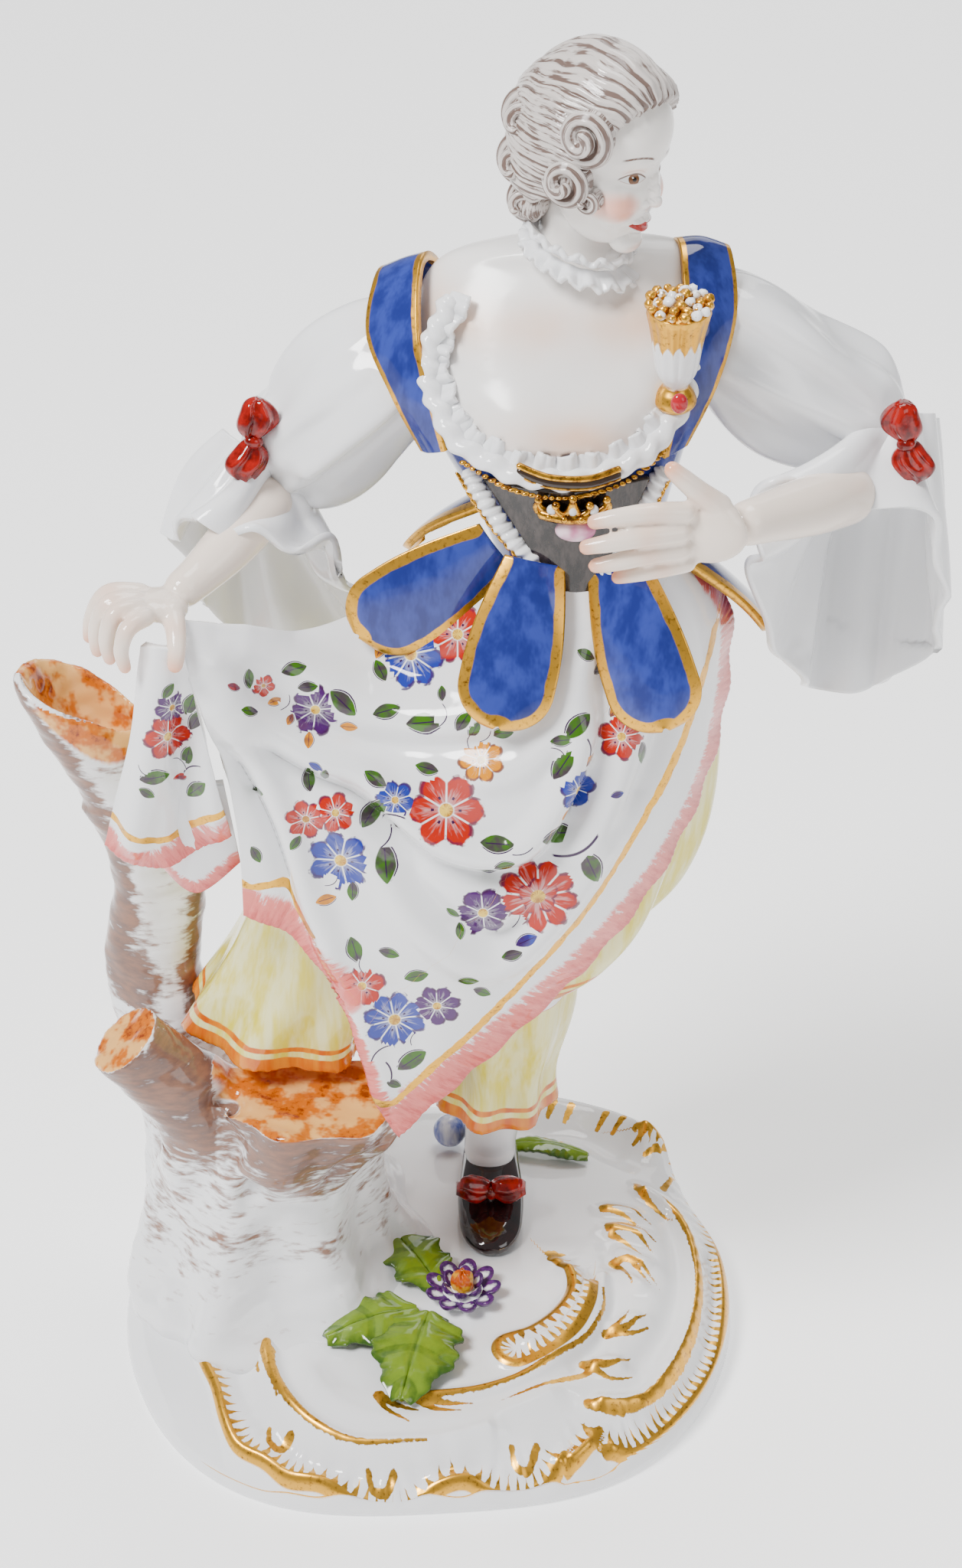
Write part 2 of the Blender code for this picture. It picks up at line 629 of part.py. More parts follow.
def make_torso():
    bodice = oval_loft("bodice", [
        (15.4, 0.0, 94.4, 8.2, 7.2, 0.0, 0.0, 0.0), (15.2, -0.4, 99.0, 7.8, 7.2, 0.0, 0.0, 0.0),
        (14.7, -0.8, 105.0, 9.4, 8.4, 0.0, 0.0, 0.0), (14.0, -1.2, 110.5, 11.4, 9.6, 0.0, 0.0, 0.0),
        (13.4, -1.0, 114.6, 12.8, 9.8, 0.0, 0.0, 0.0)], 18, 8)
    chest = oval_loft("chest", [
        (13.4, -0.9, 115.0, 12.4, 9.4, 0.0, 0.0, 0.0), (13.0, 0.2, 119.0, 13.4, 8.6, 0.0, 0.0, 0.0),
        (13.0, 1.6, 122.6, 13.2, 7.6, 0.06, 0.0, 0.0), (13.4, 1.6, 126.0, 9.6, 6.0, 0.08, -0.1, 0.0),
        (13.9, 0.6, 128.6, 5.8, 4.9, 0.0, -0.1, 0.0)], 18, 8)
    return [bodice, chest]


def make_trimmings():
    lace = limb("neckline_lace", [(-0.6, -1.6, 120.6, 1.1), (1.8, -7.0, 116.6, 1.1), (6.6, -10.4, 113.2, 1.1),
                                  (13.6, -11.6, 112.0, 1.1), (20.2, -10.2, 113.6, 1.1), (24.8, -6.6, 117.4, 1.1),
                                  (27.6, -1.6, 122.2, 1.1)], 14, 2)
    stomacher = sheet("stomacher", figure_points([
        [(7.6, -9.2, 110.2), (13.6, -11.9, 110.6), (20.6, -9.8, 110.6)],
        [(11.0, -9.6, 104.6), (14.4, -10.4, 104.6), (18.2, -9.6, 104.6)],
        [(14.2, -9.2, 98.4), (15.3, -9.3, 98.2), (16.4, -9.2, 98.4)]]), 6, 6, TAB_WALL)
    edges = [limb("bodice_lace_left", [(5.2, -8.0, 110.8, 0.9), (9.0, -9.2, 105.0, 0.9),
                                       (13.6, -9.2, 98.0, 0.8)], 9, 2),
             limb("bodice_lace_right", [(22.6, -8.6, 111.2, 0.9), (20.0, -9.4, 105.0, 0.9),
                                        (17.0, -9.4, 98.0, 0.8)], 9, 2)]
    # a crown-shaped plate: its upper edge rises to three points
    rows = []
    for rise in (0.0, 0.5, 1.0):
        crest = [(-3.1, 1.2), (-2.2, 3.0), (-1.1, 1.4), (0.0, 3.3), (1.1, 1.4), (2.2, 3.0), (3.1, 1.2)]
        rows.append([(14.5 + x * (0.8 + 0.2 * rise), -12.4 + 0.09 * x * x, 107.8 + rise * z) for x, z in crest])
    brooch = sheet("brooch", figure_points(rows), 12, 3, LACE_WALL)
    stone = figure_ball("brooch_stone", (14.8, -11.4, 106.4), (1.7, 0.9, 1.2), None, 12, 8)
    return [brooch, stone, stomacher] + edges + [lace]


def make_straps():
    left = sheet("strap_left", figure_points([
        [(-2.6, 1.8, 124.6), (-0.6, 1.4, 125.8), (1.0, 0.8, 126.6)],
        [(-3.4, -1.0, 121.2), (-1.4, -2.8, 121.8), (0.8, -4.2, 122.2)],
        [(-1.2, -4.6, 117.4), (0.2, -5.4, 117.4), (2.2, -6.6, 117.6)],
        [(1.6, -5.8, 112.6), (2.2, -6.8, 112.8), (3.4, -7.8, 113.2)]]), 4, 10, TAB_WALL)
    right = sheet("strap_right", figure_points([
        [(24.6, 1.2, 128.4), (26.4, 1.8, 128.2), (28.6, 2.4, 127.4)],
        [(24.6, -4.0, 124.0), (26.8, -2.8, 124.0), (28.8, -1.0, 123.6)],
        [(23.8, -6.4, 118.4), (25.8, -5.2, 118.4), (27.2, -4.2, 118.6)],
        [(22.8, -7.6, 112.8), (23.6, -6.8, 112.8), (24.6, -5.8, 113.0)]]), 4, 10, TAB_WALL)
    return [left, right]


def make_ornament():
    # a fluted holder with a knobbed foot, leaning a little with the shoulder
    h = ORNAMENT_HEIGHT
    cup = turned("corsage_cup", [(0.0, 0.0011), (0.0014, 0.0009), (0.0024, 0.0002),
                                 (0.00285, -0.0006), (0.0026, -0.0016), (0.00215, -0.35 * h), (0.0017, -0.62 * h), (0.0013, -0.72 * h),
                                 (0.0017, -0.80 * h), (0.0018, -0.9 * h), (0.0012, -0.97 * h), (0.0, -h)])
    lean = Matrix.Translation(Vector((24.0, -7.9, 127.6)) * FIGURE) @ Matrix.Rotation(0.1, 4, "X")
    place(cup, lean)
    return cup


# ---------------------------------------------------------------- arms
def widened(ring, share):
    # a ring of points spread about its own middle
    ring = np.array(ring)
    return ring.mean(0) + (ring - ring.mean(0)) * share


def make_arms():
    puff = SLEEVE_GIRTH / 0.0124
    left = limb("sleeve_left", [(3.0, 3.4, 117.6, 5.6 * puff), (-2.6, 3.4, 116.0, 6.6 * puff),
                                (-8.0, 3.8, 109.8, 6.6 * puff), (-13.2, 4.2, 106.6, 5.4 * puff),
                                (-16.4, 4.4, 105.2, 4.3 * puff)], 10, 3)
    right = limb("sleeve_right", [(23.6, 3.2, 119.4, 5.8 * puff), (29.4, 3.2, 118.6, 6.6 * puff),
                                  (35.4, 3.6, 114.4, 6.9 * puff), (41.4, 4.0, 110.6, 6.0 * puff),
                                  (46.2, 4.2, 108.2, 4.4 * puff)], 10, 3)
    bows = [make_bow("bow_left", (-16.6, -0.6, 108.4), (0.25, 0.2, 1.0), (-0.9, -0.4, 0.2), 4.2, 1.9),
            make_bow("bow_right", (47.0, -0.6, 108.6), (0.3, -0.1, -1.0), (0.9, -0.4, 0.2), 4.2, 2.0)]
    cuffs = [
        bell("cuff_left", [
            widened([(-13.6, 0.0, 106.8), (-10.6, 2.0, 101.6), (-12.6, 7.6, 100.6),
                     (-17.0, 8.6, 104.2), (-18.0, 4.6, 108.0), (-16.6, 0.8, 109.2)], puff),
            [(-15.4, -4.2, 105.0), (-9.4, -1.4, 98.2), (-10.6, 9.6, 91.4), (-18.0, 11.4, 94.0),
             (-21.4, 5.0, 103.0), (-19.4, -1.6, 106.0)],
            [(-17.0, -7.0, 104.0), (-8.0, -3.6, 99.6), (-6.4, 8.6, 84.6), (-18.2, 12.6, 80.6),
             (-23.2, 5.6, 93.6), (-22.6, -2.4, 102.6)]], 14, 5, APRON_WALL),
        bell("cuff_right", [
            widened([(43.0, 0.0, 111.0), (41.0, 2.6, 106.0), (43.4, 7.6, 104.0),
                     (47.6, 8.2, 106.6), (49.4, 4.2, 110.2), (47.0, 0.6, 112.4)], puff),
            [(38.4, -5.4, 110.6), (36.0, -3.0, 100.6), (39.6, 7.4, 95.6), (46.6, 9.2, 97.0),
             (50.4, 2.6, 102.6), (46.4, -3.4, 109.0)],
            [(33.0, -8.6, 109.4), (32.4, -6.4, 98.4), (37.6, 1.0, 82.6), (45.4, 3.4, 80.4),
             (51.2, -0.6, 87.0), (46.8, -6.6, 105.0)]], 14, 5, APRON_WALL)]
    return [left, right], bows, cuffs


def make_hand(name, wrist_line, palm, palm_size, palm_turn, fingers):
    pieces = [limb(name, wrist_line, 6, 2)]
    pieces.append(figure_ball("palm", palm, palm_size, palm_turn, 12, 8))
    for finger in fingers:
        pieces.append(limb("finger", finger, 5, 1))
    return fuse(name, pieces)


def make_hands():
    left = make_hand("hand_left",
                     [(-13.0, 1.0, 104.6, 2.7), (-17.2, -5.0, 101.8, 2.5), (-22.8, -12.2, 99.8, 1.7)],
                     (-24.0, -13.6, 99.8), (3.6, 2.9, 1.5),
                     Matrix.Rotation(math.radians(38), 3, "Z") @ Matrix.Rotation(0.12, 3, "Y"), [
        [(-24.6, -12.0, 100.2, 1.05), (-28.6, -12.6, 100.4, 0.95), (-30.2, -13.2, 98.0, 0.85),
         (-30.4, -13.6, 95.6, 0.7)],
        [(-24.8, -13.4, 100.4, 1.05), (-28.2, -14.6, 100.6, 0.95), (-29.4, -15.2, 98.0, 0.85),
         (-29.4, -15.4, 95.4, 0.7)],
        [(-24.8, -14.6, 100.4, 1.05), (-27.4, -16.4, 100.4, 0.95), (-28.2, -17.0, 98.0, 0.85),
         (-28.0, -17.0, 95.6, 0.7)],
        [(-24.2, -15.8, 100.2, 1.05), (-26.2, -18.2, 100.0, 0.95), (-26.8, -18.8, 97.8, 0.85),
         (-26.4, -18.8, 95.8, 0.7)],
        [(-22.6, -14.0, 99.6, 1.3), (-22.0, -17.0, 98.6, 1.1), (-21.8, -18.8, 96.6, 0.9)]])
    right = make_hand("hand_right",
                      [(42.0, -3.0, 106.4, 3.0), (36.0, -11.0, 108.8, 2.8), (28.8, -17.8, 110.6, 1.9)],
                      (26.6, -18.6, 110.8), (4.4, 1.7, 3.4), Matrix.Rotation(-0.2, 3, "Z"), [
        [(25.4, -19.2, 113.0, 1.1), (20.4, -20.2, 113.4, 1.0), (15.8, -20.4, 112.6, 0.75)],
        [(25.0, -19.4, 111.2, 1.1), (20.2, -20.8, 111.2, 1.0), (15.6, -21.0, 110.4, 0.75)],
        [(25.2, -19.2, 109.4, 1.1), (20.6, -20.4, 109.0, 1.0), (16.4, -20.6, 108.2, 0.75)],
        [(25.6, -18.8, 107.8, 1.0), (21.8, -19.8, 107.2, 0.9), (18.2, -20.0, 106.6, 0.7)],
        [(28.0, -18.4, 112.6, 1.4), (24.6, -19.2, 116.0, 1.15), (22.4, -19.4, 117.8, 0.85)]])
    return [left, right]


# ---------------------------------------------------------------- head
def head_turn():
    # X of the turned head is the face's way, Z its crown; it looks to the side and a little down
    look = Vector((0.80, -0.58, -0.12)).normalized()
    crown = Vector((0.10, 0.02, 1.0))
    crown = (crown - look * look.dot(crown)).normalized()
    return Matrix((look, crown.cross(look), crown)).transposed()


HEAD_CENTRE = Vector((16.8, -1.4, 140.6))


def head_place(forward, side, up):
    return HEAD_CENTRE + head_turn() @ Vector((forward, side, up))


def make_head():
    turn = head_turn()
    skull = figure_ball("head", head_place(-0.6, 0.0, 1.2), (7.2, 5.9, 6.9), turn, 16, 10)
    face = figure_ball("face", head_place(1.7, 0.0, -2.6), (5.2, 4.7, 6.4), turn, 14, 10)
    chin = figure_ball("chin", head_place(4.3, 0.0, -7.6), (1.9, 2.1, 1.6), turn, 12, 8)
    nose = figure_ball("nose", head_place(6.7, 0.0, -2.2), (1.2, 0.75, 1.9),
                       turn @ Matrix.Rotation(-0.35, 3, "Y"),
                       10, 8)
    lips = figure_ball("lips", head_place(5.8, 0.03, -5.3), (1.1, 1.45, 0.85),
                       turn @ Matrix.Rotation(0.1, 3, "Y"), 12, 8)
    neck = limb("neck", [(14.4, 1.2, 126.6, 4.0), (15.0, 0.6, 130.4, 3.5), (15.8, -0.2, 136.4, 3.6)], 7, 3)
    head = fuse("head", [skull, face, chin, nose, lips, neck])
    ruff = tube("neck_ruff", ruff_ring(), [LACE_WALL] * 17, 2)
    return head, ruff


def ruff_ring():
    # the band runs nearly all the way round and its ends almost meet behind
    a = np.linspace(math.radians(100), math.radians(435), 17)
    x, y = 4.9 * np.cos(a), 4.7 * np.sin(a)
    return figure_points(np.column_stack([15.4 + x, -0.6 + y, 130.0 - 0.3 * x + 0.12 * y]))


def make_hair():
    turn = head_turn()
    cap = figure_ball("hair_cap", head_place(-1.3, 0.0, 1.6), (7.6, 6.9, 7.6), turn, 16, 10)
    build = bmesh.new()
    bmesh.ops.create_cube(build, size=1.0)
    front = add_mesh("hair_cutter", build)
    shape = Matrix.Diagonal((0.012, 0.020, 0.024, 1.0))
    lean = (turn @ Matrix.Rotation(0.42, 3, "Y")).to_4x4()
    place(front, Matrix.Translation(head_place(8.6, 0.0, -3.2) * FIGURE) @ lean @ shape)
    combine(cap, front, "DIFFERENCE")
    bpy.data.objects.remove(front, do_unlink=True)
    rolls = []
    for name, spot, radius, half in (("curl_back_upper", (-5.0, -3.4, 0.8), 2.3, 2.6),
                                     ("curl_back_middle", (-5.2, -3.2, -3.2), 2.2, 2.6),
                                     ("curl_back_lower", (-4.2, -2.8, -6.8), 1.9, 2.2),
                                     ("curl_side_upper", (1.8, -5.9, 3.0), 2.2, 1.5),
                                     ("curl_side_lower", (0.8, -5.9, -1.4), 2.2, 1.5),
                                     ("curl_far", (1.2, 5.9, 1.0), 2.4, 1.5)):
        ends = [head_place(spot[0], spot[1] - half, spot[2]), head_place(spot[0], spot[1] + half, spot[2])]
        knots = [(*ends[0], radius * 0.6), (*ends[0].lerp(ends[1], 0.15), radius * 0.95),
                 (*ends[0].lerp(ends[1], 0.5), radius), (*ends[0].lerp(ends[1], 0.85), radius * 0.95),
                 (*ends[1], radius * 0.6)]
        rolls.append(limb(name, knots, 7, 2))
    return [cap] + rolls


# ---------------------------------------------------------------- colours
WHITE = (0.86, 0.87, 0.89)
FLESH = (0.93, 0.80, 0.70)
GOLD = (0.80, 0.52, 0.15)
BLUE = (0.05, 0.10, 0.42)
RED = (0.58, 0.05, 0.02)
LEAF = (0.16, 0.36, 0.06)
YELLOW = (0.84, 0.82, 0.50)
HAIR = (0.62, 0.58, 0.56)
BARK = (0.42, 0.24, 0.15)
COLOURS = {
    "tree": BARK, "left_stub": BARK, "rear_trunk": BARK, "hollow": BARK, "blossom_petals": (0.42, 0.20, 0.48),
    "blossom_heart": (0.85, 0.50, 0.12), "leaf": LEAF, "bud": (0.16, 0.18, 0.55), "shoe_bow": RED,
    "shoe": (0.02, 0.012, 0.012), "tab": BLUE, "strap": BLUE, "bow": RED, "stomacher": (0.06, 0.05, 0.045),
    "brooch_stone": (0.72, 0.32, 0.42), "brooch": GOLD, "corsage": GOLD,
    "petticoat": YELLOW, "head": FLESH, "hand": FLESH, "chest": FLESH, "hair": HAIR, "curl": HAIR,
}


def colour_of(name):
    for start, colour in COLOURS.items():
        if name.startswith(start):
            return colour
    return WHITE


def main():
    mound = make_mound()
    tree = make_tree()
    plants = make_plants()
    foot = make_foot()
    head, ruff = make_head()
    hair = make_hair()
    hands = make_hands()
    sleeves, bows, cuffs = make_arms()
    ornament = make_ornament()
    trimmings = make_trimmings()
    straps = make_straps()
    tabs = make_tabs()
    bodice, chest = make_torso()
    apron = make_apron()
    skirt = make_petticoat()
    order = ([mound] + tree + make_rocaille() + plants + foot + [head, ruff] + hair + hands + bows + [ornament]
             + straps + tabs + apron + sleeves + cuffs + [bodice, chest, skirt] + trimmings)
    seat(order)
    for item in order:
        gold = colour_of(item.name) == GOLD
        item.data.materials.clear()
        glaze = paint(item.name, colour_of(item.name), 0.22 if gold else 0.12, float(gold))
        item.data.materials.append(glaze)
        item.data.shade_smooth()
        item.data.set_sharp_from_angle(angle=math.radians(42))


clear_scene()
PARTS = new_collection("porcelain_figurine")
CUTTERS = new_collection("cutters")
main()
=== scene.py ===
import math
import bmesh
import bpy
import numpy as np
from mathutils import Matrix, Vector


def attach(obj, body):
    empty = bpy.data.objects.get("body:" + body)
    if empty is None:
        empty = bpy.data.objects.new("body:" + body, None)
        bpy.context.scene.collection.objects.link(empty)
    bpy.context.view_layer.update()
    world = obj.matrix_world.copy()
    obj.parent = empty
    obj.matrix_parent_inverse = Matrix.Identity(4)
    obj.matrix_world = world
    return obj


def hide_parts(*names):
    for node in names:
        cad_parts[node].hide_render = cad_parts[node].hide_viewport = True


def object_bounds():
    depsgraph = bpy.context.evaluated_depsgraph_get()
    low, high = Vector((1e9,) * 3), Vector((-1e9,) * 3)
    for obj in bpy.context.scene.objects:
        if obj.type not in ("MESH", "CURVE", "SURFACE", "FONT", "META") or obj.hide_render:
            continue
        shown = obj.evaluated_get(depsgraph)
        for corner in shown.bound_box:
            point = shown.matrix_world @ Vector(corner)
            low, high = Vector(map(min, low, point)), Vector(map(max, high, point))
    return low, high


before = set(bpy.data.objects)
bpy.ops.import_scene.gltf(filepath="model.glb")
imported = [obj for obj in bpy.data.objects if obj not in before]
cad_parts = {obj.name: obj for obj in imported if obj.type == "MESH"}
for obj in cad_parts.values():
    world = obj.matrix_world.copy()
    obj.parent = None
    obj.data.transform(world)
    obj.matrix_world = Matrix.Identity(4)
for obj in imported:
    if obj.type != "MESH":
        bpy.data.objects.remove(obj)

# Porcelain figurine of a dancing lady. Places are in millimetres of a figure 150 mm tall,
# x to the viewer's right, y away, z up, and are scaled to the frame's height.
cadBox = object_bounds()
mm = (cadBox[1][2] - cadBox[0][2]) / 150.0
rng = np.random.default_rng(7)

# ---- curves and arrays


def smoothLine(points, count, closed=False):
    # Catmull-Rom spline: cubic through every point, slope half the chord of its neighbours
    p = np.array(points, float)
    n = len(p)
    spans = n if closed else n - 1
    t = np.linspace(0, spans, count, endpoint=not closed)
    i = np.minimum(t.astype(int), spans - 1)
    f = (t - i).reshape((-1,) + (1,) * (p.ndim - 1))
    pick = (lambda k: p[(i + k) % n]) if closed else (lambda k: p[np.clip(i + k, 0, n - 1)])
    a, b, c, d = pick(-1), pick(0), pick(1), pick(2)
    return 0.5 * (2 * b + (c - a) * f + (2 * a - 5 * b + 4 * c - d) * f ** 2
                  + (3 * b - a - 3 * c + d) * f ** 3)


def netSurface(net, down, across):
    # a net of points (rows, columns) read as a smooth surface, rows first
    rows = smoothLine(np.array(net, float), down)
    return smoothLine(rows.transpose(1, 0, 2), across).transpose(1, 0, 2)


def unit(v):
    return v / np.maximum(np.linalg.norm(v, axis=-1, keepdims=True), 1e-12)


def gridNormals(p, wrap=False):
    du = np.gradient(p, axis=1) if not wrap else (np.roll(p, -1, 1) - np.roll(p, 1, 1)) / 2
    return unit(np.cross(du, np.gradient(p, axis=0)))


def carried(path):
    # frames carried along a path without twist: tangent, side and up at each point
    t = unit(np.gradient(path, axis=0))
    side = np.cross(t[0], [0, 0, 1.0])
    if np.linalg.norm(side) < 0.2:
        side = np.cross(t[0], [0, 1.0, 0])
    sides = []
    for k in range(len(t)):
        side = side - t[k] * np.dot(side, t[k])
        side = side / np.linalg.norm(side)
        sides.append(side)
    sides = np.array(sides)
    return t, sides, np.cross(sides, t)


def tubeGrid(knots, rings, around, squash=1.0, waves=None, tip=True):
    # circles of a changing radius carried along a path; knots are (x, y, z, radius)
    rows = smoothLine(knots, rings)
    if tip:
        # round ends: the radius falls as a quarter circle over one radius of length
        s = np.concatenate([[0], np.cumsum(np.linalg.norm(np.diff(rows[:, :3], axis=0), axis=1))])
        for away in (s, s[-1] - s):
            x = np.clip(away / rows[:, 3], 0, 1)
            rows[:, 3] *= np.sqrt(np.clip(1 - (1 - x) ** 2, 0.0004, 1))
    _, side, up = carried(rows[:, :3])
    a = np.linspace(0, 2 * math.pi, around, endpoint=False)
    r = rows[:, 3][:, None] * np.ones_like(a)
    if waves is not None:
        r = r * (1 + waves(np.linspace(0, 1, rings)[:, None], a[None, :]))
    return (rows[:, None, :3] + side[:, None] * (r * np.cos(a))[..., None]
            + up[:, None] * (r * np.sin(a) * squash)[..., None])


def ballGrid(centre, radii, turn=None, rings=24, around=36):
    # ellipsoid: latitude and longitude circles, scaled, turned and placed
    v = np.linspace(-math.pi / 2 + 0.02, math.pi / 2 - 0.02, rings)[:, None]
    a = np.linspace(0, 2 * math.pi, around, endpoint=False)[None, :]
    p = np.stack([np.cos(v) * np.cos(a), np.cos(v) * np.sin(a), np.sin(v) + 0 * a], -1) * radii
    if turn is not None:
        p = p @ np.array(turn).T
    return p + np.array(centre, float)


def lineDistance(points, line):
    # distance to a polyline, length along it, and the side (sign) seen from above
    a, b = line[:-1], line[1:]
    d = b - a
    start = np.concatenate([[0], np.cumsum(np.linalg.norm(d, axis=1))])
    best = np.full(len(points), 1e9)
    along = np.zeros(len(points))
    sign = np.ones(len(points))
    for k in range(len(a)):
        w = points - a[k]
        f = np.clip(w @ d[k] / max(d[k] @ d[k], 1e-12), 0, 1)
        gap = w - f[:, None] * d[k]
        dist = np.linalg.norm(gap, axis=1)
        near = dist < best
        best = np.where(near, dist, best)
        along = np.where(near, start[k] + f * (start[k + 1] - start[k]), along)
        sign = np.where(near, np.sign(d[k, 0] * gap[:, 1] - d[k, 1] * gap[:, 0]), sign)
    return best, along, sign


def ripple(p, size, seed=0):
    # smooth bumps: a sum of sines along fixed slanting directions, about -1 to 1
    spin = np.random.default_rng(seed)
    total = 0
    for k in range(7):
        way = spin.normal(size=3)
        way = way / np.linalg.norm(way) * (0.7 + 0.16 * k)
        total = total + np.sin(p @ way * (2 * math.pi / size) + spin.uniform(0, 6.28)) / 7 * 1.9
    return total


# ---- meshes


def addMesh(name, verts, faces):
    mesh = bpy.data.meshes.new(name)
    mesh.from_pydata((np.asarray(verts) * mm).tolist(), [], [list(f) for f in faces])
    mesh.update()
    item = bpy.data.objects.new(name, mesh)
    bpy.context.scene.collection.objects.link(item)
    return item


def gridFaces(rows, cols, wrap):
    r, c = np.meshgrid(np.arange(rows - 1), np.arange(cols if wrap else cols - 1), indexing="ij")
    n = (c + 1) % cols
    return np.stack([r * cols + c, r * cols + n, (r + 1) * cols + n, (r + 1) * cols + c], -1).reshape(-1, 4)


def fixOut(item):
    build = bmesh.new()
    build.from_mesh(item.data)
    bmesh.ops.recalc_face_normals(build, faces=build.faces)
    if build.calc_volume(signed=True) < 0:
        bmesh.ops.reverse_faces(build, faces=build.faces)
    build.to_mesh(item.data)
    build.free()
    item.data.shade_smooth()
    return item


def closedGrid(name, grids):
    # tubes of rings, each wrapped round and closed at both ends; several make one mesh
    verts, faces, base = [], [], 0
    for p in (grids if isinstance(grids, list) else [grids]):
        rows, cols = p.shape[:2]
        verts.append(p.reshape(-1, 3))
        faces += (gridFaces(rows, cols, True) + base).tolist()
        faces.append([base + k for k in range(cols)][::-1])
        faces.append([base + (rows - 1) * cols + k for k in range(cols)])
        base += rows * cols
    return fixOut(addMesh(name, np.concatenate(verts), faces))


def sheetGrid(name, p, wall, wrap=False):
    # a thin wall: the surface, the same surface moved back along its normals, and its edges
    n = gridNormals(p, wrap)
    rows, cols = p.shape[:2]
    a = p + n * wall / 2
    b = p - n * wall / 2
    f = gridFaces(rows, cols, wrap)
    faces = f.tolist() + (f[:, ::-1] + rows * cols).tolist()
    top, count = np.arange(cols), rows * cols
    rims = [(top, 1), (top + (rows - 1) * cols, -1)]
    for line, way in rims:
        ends = range(cols if wrap else cols - 1)
        for k in ends:
            i, j = int(line[k]), int(line[(k + 1) % cols])
            faces.append([j, i, i + count, j + count][::way])
    if not wrap:
        for col, way in ((0, -1), (cols - 1, 1)):
            for k in range(rows - 1):
                i, j = k * cols + col, (k + 1) * cols + col
                faces.append([j, i, i + count, j + count][::way])
    item = addMesh(name, np.concatenate([a.reshape(-1, 3), b.reshape(-1, 3)]), faces)
    return fixOut(item)


def points(item):
    p = np.empty(len(item.data.vertices) * 3, np.float32)
    item.data.vertices.foreach_get("co", p)
    return p.reshape(-1, 3).astype(float) / mm


def setPoints(item, p):
    item.data.vertices.foreach_set("co", (p * mm).astype(np.float32).ravel())
    item.data.update()


def vertexNormals(item):
    n = np.empty(len(item.data.vertices) * 3, np.float32)
    item.data.vertices.foreach_get("normal", n)
    return n.reshape(-1, 3).astype(float)


def mark(item, name, values, domain="POINT"):
    # one number or one vector for each point (or face corner), read by the materials
    values = np.asarray(values, np.float32)
    kind = "FLOAT" if values.ndim == 1 else "FLOAT_VECTOR"
    layer = item.data.attributes.new(name, kind, domain)
    layer.data.foreach_set("value" if values.ndim == 1 else "vector", values.ravel())


def baked(item):
    bpy.context.view_layer.update()
    mesh = bpy.data.meshes.new_from_object(item.evaluated_get(bpy.context.evaluated_depsgraph_get()))
    item.modifiers.clear()
    item.data = mesh
    return item


def melted(item, voxel, smooth):
    # crossing solids become one skin: voxel remesh, then an even relaxing of its points
    change = item.modifiers.new("skin", "REMESH")
    change.mode = "VOXEL"
    change.voxel_size = voxel * mm
    ease = item.modifiers.new("ease", "SMOOTH")
    ease.factor = 0.5
    ease.iterations = smooth
    baked(item)
    item.data.shade_smooth()
    return item


def finished(item, nodes, slot, *materials):
    item.data.materials.clear()
    for material in materials:
        item.data.materials.append(material)
    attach(item, "root")
    if nodes:
        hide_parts(*nodes)
    return item

# ---- shader maths


class Wire:
    # one output socket; arithmetic on it adds Math nodes to the same tree
    def __init__(self, tree, socket):
        self.tree = tree
        self.socket = socket

    def node(self, kind, settings=None, inputs=None, output=0):
        made = self.tree.nodes.new(kind)
        for key, value in (settings or {}).items():
            setattr(made, key, value)
        for key, value in (inputs or {}).items():
            if isinstance(value, Wire):
                self.tree.links.new(value.socket, made.inputs[key])
            else:
                made.inputs[key].default_value = value
        return Wire(self.tree, made.outputs[output])

    def maths(self, operation, *others):
        return self.node("ShaderNodeMath", {"operation": operation}, dict(enumerate([self, *others])))

    def __add__(self, other):
        return self.maths("ADD", other)

    def __mul__(self, other):
        return self.maths("MULTIPLY", other)

    def __sub__(self, other):
        return self.maths("SUBTRACT", other)

    def __truediv__(self, other):
        return self.maths("DIVIDE", other)

    def __rsub__(self, other):
        return (self * -1.0) + other

    def __neg__(self):
        return self * -1.0

    def __abs__(self):
        return self.maths("ABSOLUTE")

    __radd__ = __add__
    __rmul__ = __mul__

    def sine(self):
        return self.maths("SINE")

    def least(self, other):
        return self.maths("MINIMUM", other)

    def most(self, other):
        return self.maths("MAXIMUM", other)

    def step(self, low, high):
        # 0 below low and 1 above high, or the other way round, smooth between
        swap = low > high
        ends = (high, low) if swap else (low, high)
        out = (1.0, 0.0) if swap else (0.0, 1.0)
        return self.node("ShaderNodeMapRange", {"interpolation_type": "SMOOTHSTEP"},
                         {0: self, 1: ends[0], 2: ends[1], 3: out[0], 4: out[1]})

    def mix(self, first, second):
        # colours blended by this number
        wires = {"Factor": self, 6: first if isinstance(first, Wire) else (*first, 1.0),
                 7: second if isinstance(second, Wire) else (*second, 1.0)}
        return self.node("ShaderNodeMix", {"data_type": "RGBA"}, wires, 2)

    def part(self, axis):
        made = self.node("ShaderNodeSeparateXYZ", None, {0: self})
        return Wire(self.tree, made.socket.node.outputs[axis])

    def noise(self, scale, detail=2.0, rough=0.5):
        return self.node("ShaderNodeTexNoise", None,
                         {"Vector": self, "Scale": scale, "Detail": detail, "Roughness": rough})

    def scaled(self, x, y, z):
        return self.node("ShaderNodeVectorMath", {"operation": "MULTIPLY"}, {0: self, 1: (x, y, z)})


def joined(x, y, z=0.0):
    wire = x if isinstance(x, Wire) else y
    return wire.node("ShaderNodeCombineXYZ", None, {0: x, 1: y, 2: z})


